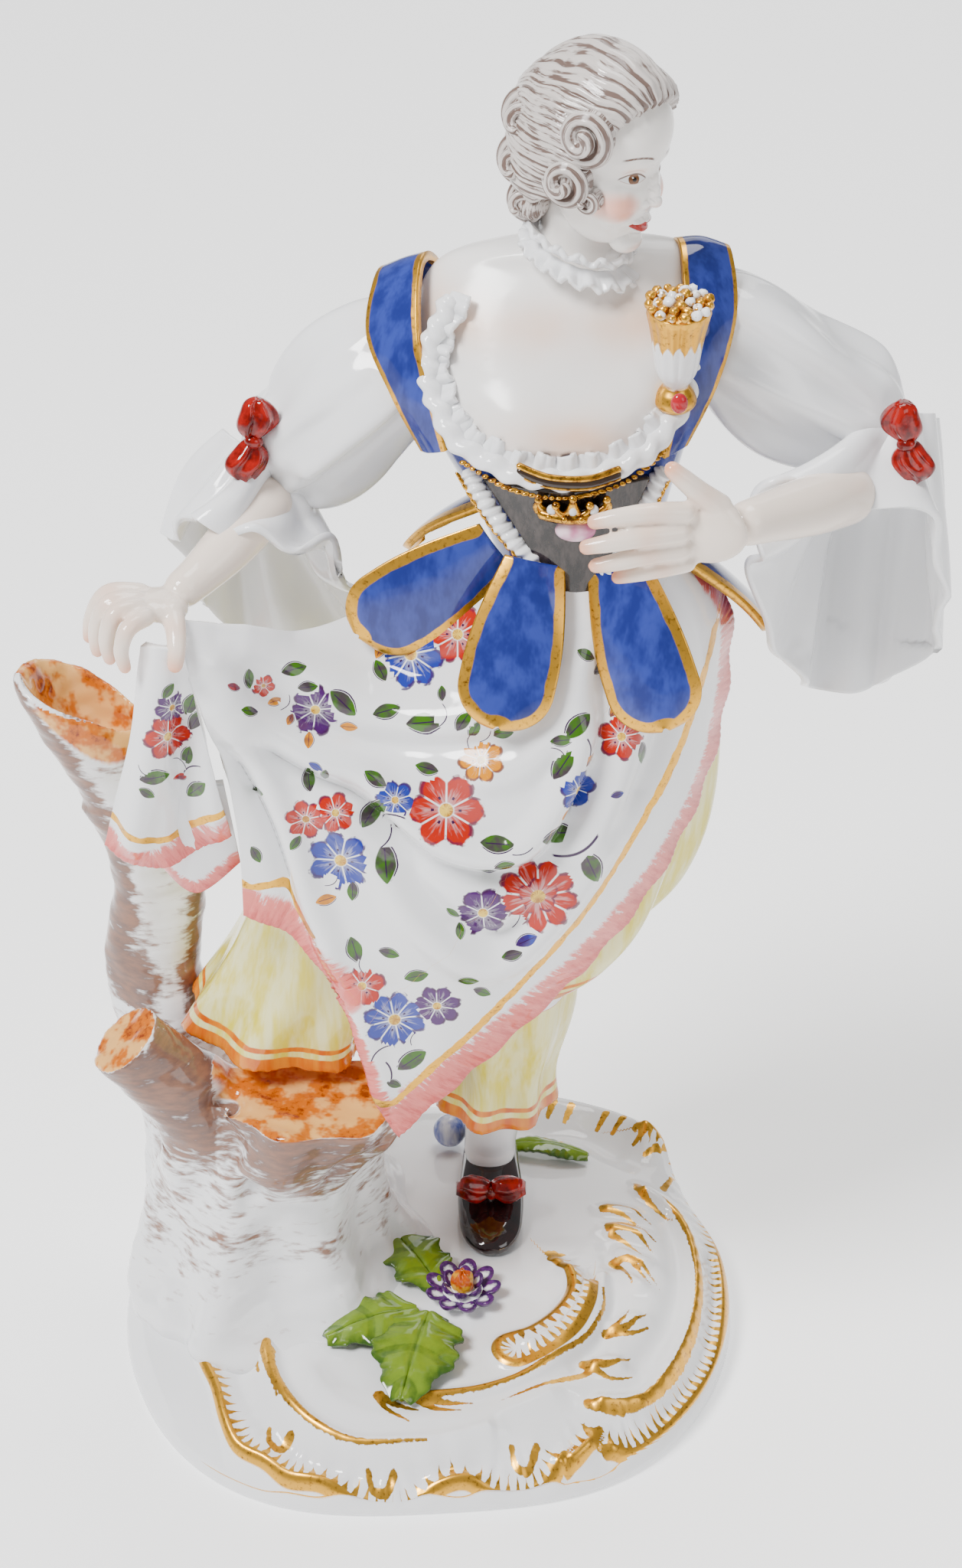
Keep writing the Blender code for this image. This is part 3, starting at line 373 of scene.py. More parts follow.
class Glaze:
    # a material of fired glaze: a Principled shader, object coordinates and marks of the mesh
    def __init__(self, name, roughness=0.1, coat=0.12, sheen=0.06):
        self.material = bpy.data.materials.new(name)
        self.material.use_nodes = True
        self.tree = self.material.node_tree
        self.shader = self.tree.nodes["Principled BSDF"]
        self.shader.inputs["IOR"].default_value = 1.5
        self.shader.inputs["Specular IOR Level"].default_value = 0.42
        self.shader.inputs["Coat Weight"].default_value = coat
        self.shader.inputs["Coat Roughness"].default_value = 0.03
        self.shader.inputs["Subsurface Weight"].default_value = sheen
        self.shader.inputs["Subsurface Radius"].default_value = (1.0, 0.9, 0.8)
        self.shader.inputs["Subsurface Scale"].default_value = 0.8 * mm
        self.set("Roughness", roughness)
        place = self.tree.nodes.new("ShaderNodeTexCoord")
        self.place = Wire(self.tree, place.outputs["Object"]).scaled(1 / mm, 1 / mm, 1 / mm)

    def read(self, name):
        layer = self.tree.nodes.new("ShaderNodeAttribute")
        layer.attribute_name = name
        return Wire(self.tree, layer.outputs["Fac"])

    def readVector(self, name):
        layer = self.tree.nodes.new("ShaderNodeAttribute")
        layer.attribute_name = name
        return Wire(self.tree, layer.outputs["Vector"])

    def set(self, name, value):
        socket = self.shader.inputs[name]
        if isinstance(value, Wire):
            self.tree.links.new(value.socket, socket)
        else:
            socket.default_value = (*value, 1.0) if isinstance(value, tuple) else value
        return self

    def bump(self, height, strength, depth):
        made = height.node("ShaderNodeBump", None,
                           {"Height": height, "Strength": strength, "Distance": depth * mm})
        return self.set("Normal", made)


glazeWhite = (0.86, 0.865, 0.88)
goldTone = (0.72, 0.37, 0.035)
goldDark = (0.13, 0.035, 0.005)


def gilded(glaze, colour, gold):
    # burnished gold laid over a colour where gold is 1, darker and rougher in small patches
    patch = glaze.place.noise(2.2, 4.0, 0.6)
    tone = patch.step(0.38, 0.62).mix(goldDark, goldTone)
    tone = (patch.step(0.2, 0.5)).mix(tone, goldTone)
    glaze.set("Base Color", gold.mix(colour, tone))
    glaze.set("Metallic", gold * 0.88)
    glaze.set("Roughness", gold * (patch * 0.12 + 0.16) + 0.08)


def porcelain(glaze, tint=glazeWhite):
    # clear glaze over white paste, a little cooler where it pools
    cloud = glaze.place.noise(0.09, 2.0)
    return cloud.step(0.3, 0.75).mix(tuple(c * 0.965 for c in tint), tint)


def wavyGlaze(glaze):
    glaze.bump(glaze.place.noise(0.45, 2.0), 0.12, 0.25)


def plainMaterial(name, colour=glazeWhite, roughness=0.09):
    glaze = Glaze(name, roughness)
    glaze.set("Base Color", porcelain(glaze, colour))
    wavyGlaze(glaze)
    return glaze.material


def goldMaterial(name):
    glaze = Glaze(name, 0.2, 0.2, 0.0)
    patch = glaze.place.noise(1.6, 4.0, 0.6)
    glaze.set("Base Color", patch.step(0.3, 0.62).mix(goldDark, goldTone))
    glaze.set("Metallic", 0.95)
    glaze.set("Roughness", patch * 0.15 + 0.14)
    glaze.bump(glaze.place.noise(1.5, 3.0), 0.25, 0.15)
    return glaze.material


def softColour(glaze, light, dark, size=0.5, stretch=(1, 1, 1)):
    # enamel brushed on by hand: the colour lies thicker in streaks
    streak = glaze.place.scaled(*stretch).noise(size, 3.0, 0.6)
    return streak.step(0.3, 0.7).mix(dark, light)

# ---- camera, floor and light

cameraPlan = {"lens": 77.17, "target": (6.2, 0.0, 70.75), "elevation": 34.0, "distance": 340.0}


def makeStage():
    camera = bpy.data.objects.new("camera", bpy.data.cameras.new("camera"))
    camera.data.lens = cameraPlan["lens"]
    camera.data.sensor_width = 36.0
    camera.data.clip_start = 0.01
    rise = math.radians(cameraPlan["elevation"])
    away = Vector((0.0, -math.cos(rise), math.sin(rise))) * cameraPlan["distance"] * mm
    camera.location = Vector(cameraPlan["target"]) * mm + away
    camera.rotation_euler = (math.pi / 2 - rise, 0.0, 0.0)
    bpy.context.scene.collection.objects.link(camera)
    bpy.context.scene.camera = camera

    bpy.ops.mesh.primitive_plane_add(size=6.0, location=(0, 0, cadBox[0][2]))
    floor = bpy.context.object
    floor.name = "floor"
    paper = Glaze("floor_paper", 0.6, 0.0, 0.0)
    paper.set("Base Color", (0.95, 0.95, 0.95))
    paper.set("Emission Color", (1.0, 1.0, 1.0))
    paper.shader.inputs["Emission Strength"].default_value = 0.62
    floor.data.materials.append(paper.material)

    world = bpy.data.worlds.new("studio")
    world.use_nodes = True
    world.node_tree.nodes["Background"].inputs["Color"].default_value = (1.0, 1.0, 1.0, 1.0)
    world.node_tree.nodes["Background"].inputs["Strength"].default_value = 0.34
    bpy.context.scene.world = world
    lamps = {"key": ((-0.40, -0.30, 0.75), 0.26, 11.5), "fill": ((0.6, -0.5, 0.45), 0.4, 1.4),
             "top": ((0.15, 0.25, 0.95), 0.4, 4.5), "back": ((0.2, 0.8, 0.5), 0.5, 1.6)}
    for name, (spot, size, power) in lamps.items():
        light = bpy.data.lights.new(name, "AREA")
        light.size = size
        light.energy = power
        item = bpy.data.objects.new(name, light)
        item.location = spot
        aim = Vector((0.0, 0.0, 0.07)) - item.location
        item.rotation_euler = aim.to_track_quat("-Z", "Y").to_euler()
        bpy.context.scene.collection.objects.link(item)

# ---- mound and rocaille

mound = {"around": 640, "rings": 146, "crest": 0.52, "tooth": 1.6, "pitch": 1.15}

# crests of the shell border, gold with teeth that point inward
crestLines = {
    "front": [(-18.5, -11), (-20.5, -10), (-22.6, -10.6), (-24, -13), (-23.8, -16.5), (-22.2, -20.5),
              (-21, -24.5),
              (-19.5, -27.4), (-16.5, -29.3), (-14, -30.9), (-10.5, -31.6), (-7.5, -32.8), (-4.5, -33.9),
              (-1.5, -33.7), (1.5, -31.9), (4.5, -31.2), (7.5, -32), (11, -32), (13.6, -30.6), (15, -28.6)],
    "front_end": [(15.2, -29.4), (16.6, -28.4), (18.2, -26.8)],
    "right": [(19.4, -27.2), (22.4, -26.6), (25.4, -24), (28.6, -19.8), (31.6, -14.2), (33, -8.6), (33.6, -2),
              (33.4, 5), (32.2, 12), (30.6, 17.5), (27.6, 20.5), (24.6, 21.2)],
    "inner": [(18.6, -6.4), (18.2, -10), (16.6, -13.8), (13.8, -17.2), (11, -18.8), (8.8, -18.6), (7.8, -17),
              (8.6, -15.2), (11.6, -13.9), (14.4, -11.4), (16, -8.4), (15.8, -5.6), (14, -2.6)]}

# brush strokes: way, half width at the start and at the end
goldStrokes = [
    ([(-17.2, -15.5), (-15.8, -20.5), (-13.4, -24.6), (-10, -27.4), (-6, -28.7), (0.6, -28.6)], 0.75, 0.12),
    ([(-19.2, -12.6), (-18.6, -15.4), (-17.6, -19)], 0.6, 0.15),
    ([(-18.8, -13), (-17.6, -16), (-16.8, -18)], 0.5, 0.1),
    ([(-16.4, -17), (-16.2, -20), (-15.4, -23)], 0.6, 0.1),
    ([(-16.2, -25.4), (-16.1, -27), (-14.9, -27.8), (-14, -26.8)], 0.25, 0.6),
    ([(-5.6, -30.3), (-5.2, -31.6), (-3.8, -31.9), (-3, -30.6)], 0.3, 0.5),
    ([(9.4, -28), (9.9, -29.6), (11.2, -29.8), (12, -28)], 0.3, 0.45),
    ([(19.6, -7.2), (19.5, -10.4), (17.6, -14.6), (14.4, -17.8), (10.6, -20.4), (6, -22.4), (0, -23.4)],
     0.18, 0.5),
    ([(-4.6, -22.8), (-2.8, -24.2), (-0.4, -25)], 0.65, 0.12),
    ([(-4.8, -22.9), (-3.6, -25), (-1.4, -26.4)], 0.5, 0.1),
    ([(-0.6, -23.5), (1.4, -24.7), (4.2, -25)], 0.6, 0.1), ([(0, -23.4), (2.4, -24), (5.4, -24)], 0.5, 0.1),
    ([(17.6, -19), (13, -21.4), (8, -23.8)], 0.5, 0.08),
    ([(24, 11), (26.2, 10.6), (28.2, 8), (29.8, 3), (30.4, -3.4), (29.6, -10), (27.4, -16.4), (24, -21.4),
      (20.6, -23.4), (17.6, -23.2)], 0.42, 0.6),
    ([(24.2, 10.8), (25.4, 8.6), (28, 6.6)], 0.6, 0.1), ([(24.2, 11.6), (27, 10), (29.4, 7)], 0.6, 0.12),
    ([(20, 6.4), (22.4, 7), (25.6, 4.8)], 0.55, 0.08), ([(20, 6), (22.2, 5.4), (24.6, 3.6)], 0.45, 0.08),
    ([(20.6, 3.4), (23, 4), (26, 1.6)], 0.6, 0.08), ([(20.6, 2.8), (23.4, 2.4), (25.8, -0.4)], 0.55, 0.08),
    ([(20.8, 2), (22.6, 0.8), (24.6, -1.4)], 0.45, 0.08),
    ([(20.8, -2), (22.8, -2.2), (25, -5.6)], 0.5, 0.08), ([(20.8, -2.2), (22, -3.6), (23, -6.4)], 0.45, 0.08),
    ([(21.2, -1.8), (23.8, -2.4), (26, -6)], 0.4, 0.08),
    ([(19.8, -13.2), (22, -12.4), (24.4, -10)], 0.55, 0.08),
    ([(19.8, -13.4), (22.6, -13), (24.6, -11.6)], 0.55, 0.08),
    ([(19.6, -13.4), (21.6, -11.6), (22.4, -9.6)], 0.45, 0.08),
    ([(17.2, -17.8), (20, -18), (22.4, -16.2)], 0.6, 0.08),
    ([(17.4, -18), (20, -19.4), (22.6, -18.6)], 0.5, 0.08),
    ([(14, 23.6), (14.8, 25.6)], 0.3, 0.5), ([(16, 23.4), (16.9, 25.3)], 0.3, 0.5),
    ([(19.8, 22.4), (20.9, 24.2)], 0.3, 0.5),
    ([(21.6, 21.6), (22.9, 23.2)], 0.3, 0.5), ([(24, 19.4), (25.6, 20.6)], 0.3, 0.5),
    ([(25.2, 17.8), (26.8, 18.8)], 0.3, 0.5), ([(27.2, 13), (28.8, 17)], 0.45, 0.15)]

# raised rolls and sunken bands of the rocaille: line, height, half width
reliefLines = [
    ([(-17.2, -14.5), (-15.8, -20.5), (-13.4, -24.6), (-10, -27.4), (-6, -28.7), (2, -28.4), (8, -26.8)],
     0.75, 1.0),
    ([(-20.4, -14.5), (-19.2, -20), (-16.6, -25), (-12, -29), (-5, -30.6), (3, -29.8), (10, -28.6)], -0.55,
     1.3),
    ([(-13, -18), (-10.6, -22.4), (-6, -25.4), (0, -26.2), (8, -25), (15, -21.4)], 0.45, 1.8),
    ([(15, -4), (17, -8), (15.8, -12), (12.6, -15.6), (9.6, -16.8)], 1.0, 1.7),
    ([(19.7, -4), (19.6, -9), (17.6, -14.6), (12.6, -19.2), (6, -22.4), (-2, -23.4)], 0.55, 0.7),
    ([(20, 1), (21, -5), (19.6, -13), (16, -19.4)], -0.4, 1.2),
    ([(24, 11), (28.2, 8), (29.9, 3), (30.3, -3.4), (29.4, -10), (27, -16.4), (23.6, -21.6), (18, -23.2)],
     0.9, 1.1),
    ([(31.8, 4), (31.9, -3), (30.8, -10), (28.2, -17), (24.6, -22.6)], -0.45, 1.0),
    ([(27, 8), (28, 2), (27.8, -5), (25.8, -12), (22, -18.4)], -0.4, 1.3),
    ([(19.4, 6.4), (24.6, 6)], 0.55, 1.1), ([(20, 3.2), (25.4, 2.2)], 0.55, 1.1),
    ([(20.4, -0.4), (25.4, -2.6)], 0.55, 1.1), ([(20.4, -3.4), (24.6, -6.6)], 0.5, 1.0),
    ([(19.4, -12.6), (24, -10.6)], 0.45, 1.0), ([(17.2, -17.8), (22, -17.4)], 0.45, 1.0),
    ([(8.5, 29.4), (14.4, 31.6), (20.6, 30.6), (26, 26.4), (28.6, 21)], 1.5, 3.0),
    ([(9, 24.5), (14, 26.5), (20, 26), (25, 22.5), (28, 17.5)], 2.3, 2.8),
    ([(12, 20.5), (18, 21), (23, 17)], -0.6, 1.8)]


def rimRadius(a):
    # outline about the middle: an egg with soft lobes, the far right one longest
    return (32.6 + np.cos(2 * a) + 0.9 * np.cos(3 * (a - 1.75)) + 0.6 * np.cos(5 * (a + 0.9))
            + 4.6 * np.exp(-((a - 0.86) / 0.34) ** 2))


moundCurve = smoothLine([(0, 8.85), (0.28, 8.8), (0.55, 8.5), (0.74, 7.7), (0.86, 6.4), (0.95, 4.4),
                         (1.0, 2.0)], 200)


def moundHeight(x, y):
    reach = np.hypot(x, y + 2) / rimRadius(np.arctan2(y + 2, x))
    return np.interp(reach, moundCurve[:, 0], moundCurve[:, 1])


def lineLength(path):
    return np.linalg.norm(np.diff(path, axis=0), axis=1).sum()


def strokeField(places, strokes):
    # how deep each place lies inside the nearest brush stroke, in millimetres
    field = np.full(len(places), -3.0)
    for line, first, last in strokes:
        path = smoothLine(line, 7 * len(line))
        near = np.all((places > path.min(0) - 2) & (places < path.max(0) + 2), axis=1)
        gap, along, _ = lineDistance(places[near], path)
        width = first + (last - first) * along / lineLength(path)
        field[near] = np.maximum(field[near], width - gap)
    return field


def relief(places):
    # rolls rise as a bell curve of the distance to their line, h exp(-(d / w)^2)
    rise = np.zeros(len(places))
    for line, height, width in reliefLines:
        path = smoothLine(line, 8 * len(line))
        near = np.all((places > path.min(0) - 3 * width) & (places < path.max(0) + 3 * width), axis=1)
        gap, along, _ = lineDistance(places[near], path)
        fade = np.minimum(np.minimum(along, lineLength(path) - along) / (1.5 * abs(width)) + 0.35, 1)
        rise[near] += 1.6 * height * fade * np.exp(-(gap / width) ** 2)
    return rise


def crestMarks(places):
    # distance inward from the nearest crest, length along it, and its lift
    best = np.full(len(places), 9.0)
    side, run, lift = np.full(len(places), 9.0), np.zeros(len(places)), np.zeros(len(places))
    for name, line in crestLines.items():
        path = smoothLine(line, 9 * len(line))
        gap, along, sign = lineDistance(places, path)
        near = gap < best
        best = np.where(near, gap, best)
        inward = sign * (-1 if name == "inner" else 1)
        side = np.where(near, gap * inward, side)
        run = np.where(near, along, run)
        ends = np.minimum(along, lineLength(path) - along)
        lift = np.maximum(lift, (0.7 if name == "inner" else 1.2) * np.minimum(ends / 1.5 + 0.5, 1)
                          * np.exp(-(gap / np.where(inward > 0, 1.0, 0.75)) ** 2))
    return side, run, lift


def makeMound():
    a = np.linspace(0, 2 * math.pi, mound["around"], endpoint=False)[None, :]
    reach = np.linspace(0.004, 1, mound["rings"])[:, None] ** 0.8
    x = reach * rimRadius(a) * np.cos(a)
    y = reach * rimRadius(a) * np.sin(a) - 2
    flat = np.stack([x.ravel(), y.ravel()], -1)
    side, run, lift = crestMarks(flat)
    inShell = np.clip((side - 0.8) / 0.8, 0, 1) * np.clip((4.2 - side) / 1.2, 0, 1)
    z = moundHeight(flat[:, 0], flat[:, 1]) + relief(flat) + lift + 0.1 * inShell * np.cos(run * 2
            * math.pi / 2.3)
    p3 = np.column_stack([flat, z])
    z = z + 0.10 * ripple(p3, 9.0, 3) * np.clip(z / 4, 0, 1)
    top = np.stack([x, y, z.reshape(x.shape)], -1)
    # the wall below the rim, then the foot it stands on
    wall = []
    for share, low in ((1.006, 1.2), (1.008, 0.5), (1.0, 0.08), (0.985, 0.0)):
        r = rimRadius(a[0]) * share
        wall.append(np.stack([r * np.cos(a[0]), r * np.sin(a[0]) - 2, np.full_like(a[0], low)], -1))
    # points start at the middle of the top and end under the rim
    item = closedGrid("mound", np.concatenate([top, np.array(wall)]))
    rest = np.zeros(len(wall) * a.size)
    side = np.concatenate([side, rest + 9])
    mark(item, "crest", np.column_stack([side, np.concatenate([run, rest]), np.abs(side)]))
    mark(item, "stroke", np.concatenate([strokeField(flat, goldStrokes), rest - 3]))
    glaze = Glaze("mound_glaze", 0.08)
    crest = glaze.readVector("crest")
    inward, along = crest.part(0), crest.part(1)
    wobble = glaze.place.noise(0.9, 2.0) - 0.5
    tooth = abs((along + wobble * 0.5).maths("DIVIDE", mound["pitch"]).maths("FRACT") - 0.5) * 2.0
    longTooth = (glaze.place.noise(0.5, 1.0) * 1.3 + 0.25) * mound["tooth"]
    reachIn = (1.0 - tooth * 1.7).most(0.0) * longTooth + mound["crest"]
    shell = (inward - reachIn).step(0.05, -0.05) * crest.part(2).step(4.5,
            4.0) * inward.step(-mound["crest"] - 0.05, -mound["crest"] + 0.05)
    hair = glaze.place.scaled(1.0, 1.0, 0.2).noise(2.2, 2.0) - 0.5
    brush = (glaze.read("stroke") + hair * 0.35).step(0.0, 0.07)
    gilded(glaze, porcelain(glaze), shell.most(brush))
    wavyGlaze(glaze)
    return finished(item, ["base_mound", "front_shell_border", "front_inner_ridge", "right_shell_border",
                           "right_inner_scroll", "inner_ribbon", "small_c_scroll", "back_shell_lobe"],
                    "white_glaze", glaze.material)


# ---- tree stump, stub, trunk and hollow branch

treeColours = {"bark": (0.22, 0.075, 0.022), "bark dark": (0.085, 0.022, 0.006), "cut": (0.56, 0.13, 0.002),
               "cut pale": (0.80, 0.42, 0.13), "cut deep": (0.22, 0.032, 0.002)}


def ovalRing(x, y, z, halfX, halfY, tiltX, tiltY, count, folds=0.0, number=7):
    a = np.linspace(0, 2 * math.pi, count, endpoint=False)
    swell = 1 + folds * np.cos(number * a + 0.6)
    dx, dy = halfX * np.cos(a) * swell, halfY * np.sin(a) * swell
    return np.stack([x + dx, y + dy, z + tiltX * dx + tiltY * dy], -1)


def ovalLoft(sections, rings, around, number=7):
    rows = smoothLine(sections, rings)
    return np.array([ovalRing(*r[:7], around, r[7], number) for r in rows])


def makeTree():
    stump = ovalLoft([
        (-15.4, 1.5, 2.2, 17.2, 18.6, 0, 0, 0.03), (-15.5, 1.5, 7.2, 17.4, 19.8, 0, 0, 0.05),
        (-16.4, 1.5, 9.0, 16.2, 17.6, 0, 0, 0.07), (-17.3, 1.6, 12.0, 14.4, 15.2, 0, 0, 0.09),
        (-17.7, 1.6, 16.5, 12.9, 13.0, 0, 0, 0.08), (-17.0, 0.6, 23.0, 12.0, 11.6, 0, 0, 0.06),
        (-14.8, -3.8, 29.5, 11.2, 9.4, 0, 0.02, 0.05),
        (-11.8, -7.0, 34.2, 9.9, 7.2, -0.02, 0.04, 0.06), (-11.4, -7.6, 36.4, 9.8, 7.0, -0.02, 0.05, 0.07)],
        60, 90)
    stub = tubeGrid([(-16.5, -3.0, 23.0, 7.0), (-20.0, -4.4, 29.0, 6.0), (-24.6, -5.4, 35.0, 4.9),
                     (-28.4, -6.0, 39.6, 4.2), (-31.0, -6.4, 43.0, 4.2)], 40, 48, tip=False)
    trunk = tubeGrid([(-21.0, 5.0, 14.0, 9.0), (-23.0, 6.5, 22.0, 8.5), (-27.0, 8.5, 31.0, 6.6),
                      (-29.2, 10.0, 41.0, 5.2),
                      (-28.4, 10.6, 51.0, 4.6), (-29.6, 11.0, 58.6, 4.7), (-31.6, 11.0, 63.5, 4.9)], 60, 48,
                     waves=lambda u, a: 0.07 * np.sin(9 * u + 2 * a) + 0.05 * np.cos(3 * a + 14 * u),
                     tip=False)
    bough = [(-30.6, 11.0, 61.0, 4.7, 4.6, 0.0, -0.1, 0.04), (-31.6, 11.0, 64.0, 5.0, 4.8, -0.12, -0.1, 0.05),
             (-33.8, 11.2, 69.0, 6.0, 5.5, -0.28, -0.1, 0.06),
             (-35.2, 11.5, 73.4, 7.0, 5.9, -0.48, -0.1, 0.07),
             (-34.9, 11.5, 73.8, 6.0, 5.0, -0.48, -0.1, 0.07),
             (-33.8, 11.3, 69.8, 4.6, 4.1, -0.3, -0.1, 0.06),
             (-32.4, 11.1, 66.4, 2.6, 2.4, -0.1, -0.1, 0.05)]
    item = closedGrid("tree", [stump, stub, trunk, ovalLoft(bough, 60, 64, 3)])
    melted(item, 0.34, 4)
    p, n = points(item), vertexNormals(item)
    # knots and hollows along lines, then bark that runs round each limb
    for line, depth, width in (([(-20.6, -8.6, 36), (-18, -12.4, 26), (-17, -14.5, 18)], -1.5, 1.6),
                               ([(-7.4, -11.4, 31), (-10.4, -13.6, 23), (-11, -15.5, 15)], -1.3, 1.5),
                               ([(-14, -13, 33), (-14.5, -14, 22)], 0.9, 2.4),
                               ([(-4.6, -9, 33), (-4.6, -12, 20)], 0.8, 2.2),
                               ([(-25, -6, 30), (-27, -9, 18), (-27, -10, 8)], 1.0, 2.6),
                               ([(-20, -14, 20), (-24, -16, 9)], 1.0, 2.4),
                               ([(-9, -15, 20), (-7, -18, 9.5)], 0.9, 2.4),
                               ([(-32, 2, 26), (-33, 0, 8)], -0.9, 2.0),
                               ([(-2.6, -4, 30), (-2.4, -2, 10)], -0.8, 1.6)):
        gap, _, _ = lineDistance(p, smoothLine(line, 24))
        p = p + n * (1.6 * depth * np.exp(-(gap / width) ** 2))[:, None]
    top = np.clip((p[:, 2] - 35.2) / 0.8, 0, 1) * (p[:, 0] > -22) * (p[:, 1] < 2) * np.clip(n[:, 2] * 3
            - 1.4, 0, 1)
    way = unit(np.array([-3.0, -0.45, 3.6]))
    stubEnd = np.clip((p - np.array([-30.3, -6, 42.2])) @ way / 0.5 + 0.6, 0,
                      1) * (p[:, 0] < -26) * (p[:, 1] < 1)
    stubEnd = stubEnd * np.clip((n @ way) * 4 - 2.2, 0, 1)
    hollow = smoothLine([(-32.2, 11.1, 65.6, 2.0), (-33.8, 11.3, 69.8, 5.1), (-35.0, 11.5, 73.8, 6.7)], 30)
    deep = np.full(len(p), 9.0)
    for x, y, z, r in hollow:
        deep = np.minimum(deep, np.where(np.abs(p[:, 2] - z - 0.45 * (x - p[:, 0])) < 0.6,
                                         np.hypot(p[:, 0] - x, p[:, 1] - y) - r, 9))
    inside = np.clip(0.5 - deep, 0, 1) * (p[:, 2] > 64.5)
    cut = np.maximum.reduce([top, stubEnd, inside])
    bark = (1 - cut) * np.clip(1.4 - np.abs(n[:, 2]), 0, 1)
    low = np.array([0.34, 0.34, 1.0])
    p = p + n * (bark * (0.04 * ripple(p * low, 1.5, 5) + 0.10 * ripple(p, 4.2, 6))
                 + 0.14 * cut * ripple(p, 3.0, 8))[:, None]
    setPoints(item, p)
    # brown covers the upper wood and thins out to white paste at the foot
    x, y, z = p.T
    high = np.clip((z - 15) / 15, 0, 1)
    sides = np.clip(np.abs(n[:, 0] - 0.15) * 1.9 - 0.25, 0, 1)
    cover = np.where(z > 38, 0.08 + 0.95 * sides, 0.75 * high) + 0.28 * ripple(p, 13, 9)
    onStub = np.clip((-20.5 - x) / 3, 0, 1) * (y < 2) * (z < 44)
    cover = np.where(onStub > 0.4, 0.35 + 0.65 * np.clip((z - 26) / 8, 0, 1), cover)
    cover = np.where((y > 3) & (z < 38), 0.3 + 0.2 * ripple(p, 10, 4), cover)
    mark(item, "bark", np.clip(cover, 0, 1) * (1 - cut) * np.clip((z - 10) / 6, 0, 1))
    mark(item, "cut", cut)
    glaze = Glaze("tree_glaze", 0.1)
    strokes = glaze.place.scaled(0.3, 0.3, 1.0).noise(1.7, 3.0, 0.55)
    broad = glaze.place.scaled(0.5, 0.5, 0.8).noise(0.55, 2.0)
    paint = (glaze.read("bark") * 0.85 + (strokes - 0.5) * 1.5 + (broad - 0.5) * 0.8).step(0.18, 0.66)
    brown = (strokes + broad * 0.6).step(0.55, 1.1).mix(treeColours["bark dark"], treeColours["bark"])
    body = (paint * 0.92).mix(porcelain(glaze), brown)
    wash = glaze.place.noise(0.35, 3.0, 0.6)
    fine = glaze.place.noise(1.3, 4.0, 0.65)
    sawn = wash.step(0.42, 0.56).mix(treeColours["cut pale"], treeColours["cut"])
    sawn = (fine * wash.step(0.4, 0.65)).step(0.38, 0.62).mix(sawn, treeColours["cut deep"])
    glaze.set("Base Color", glaze.read("cut").step(0.35, 0.65).mix(body, sawn))
    glaze.bump(strokes * 0.5 + glaze.place.noise(0.45, 2.0), 0.18, 0.25)
    return finished(item, ["tree_stump", "left_stub", "rear_trunk", "hollow_branch"], "bark_glaze",
                    glaze.material)


# ---- flower, leaves and bud

leafTones = {"light": (0.16, 0.26, 0.015), "dark": (0.03, 0.08, 0.008)}


def leafGrid(root, tip, width, lobes, lift):
    # blade from root to tip: lobed and toothed edges, sunk midrib, raised side veins
    u = np.linspace(0, 1, 90)[:, None]
    v = np.linspace(-1, 1, 41)[None, :]
    root, tip = np.array(root, float), np.array(tip, float)
    way = tip - root
    side = np.array([-way[1], way[0]]) / np.hypot(*way)
    half = width * np.sin(math.pi * np.clip(u * 0.93 + 0.05, 0, 1)) ** 0.6
    half = half * (0.76 + 0.30 * np.abs(np.cos(math.pi * lobes * (u + 0.04)))) * (1 + 0.045 * np.sin(u * 58))
    slant = 0.16 * np.abs(v) * lobes / 3
    x = root[0] + way[0] * (u - slant * u * (1 - u) * 2) + side[0] * half * v
    y = root[1] + way[1] * (u - slant * u * (1 - u) * 2) + side[1] * half * v
    vein = np.cos(2 * math.pi * lobes * (u - 0.22 * np.abs(v)))
    z = (moundHeight(x, y) + lift + 0.9 * np.sin(math.pi * u) - 0.5 * v * v + 0.22 * vein * np.abs(v) ** 0.6
         - 0.25 * np.exp(-(v / 0.07) ** 2))
    return np.stack([x, y, z], -1), vein, u + 0 * v, v + 0 * u


def makeLeaf(name, root, tip, width, lobes, lift=1.1):
    p, vein, u, v = leafGrid(root, tip, width, lobes, lift)
    item = sheetGrid(name, p, 0.6)
    # darker green toward the rim and the tip, plus painted shade in the sunk midrib and in the troughs
    # between the raised side veins
    shade = 0.55 * np.abs(v) ** 3 + 0.30 * (vein < -0.6) + 0.35 * np.exp(-(v / 0.06) ** 2) + 0.25 * u
    mark(item, "shade", np.tile(shade.ravel(), 2))
    glaze = Glaze(name + "_glaze", 0.1)
    streak = glaze.place.noise(0.8, 3.0, 0.6)
    glaze.set("Base Color", (glaze.read("shade") + streak * 0.9 - 0.45).step(0.0,
            1.0).mix(leafTones["light"], leafTones["dark"]))
    wavyGlaze(glaze)
    return finished(item, [name], "green_glaze", glaze.material)


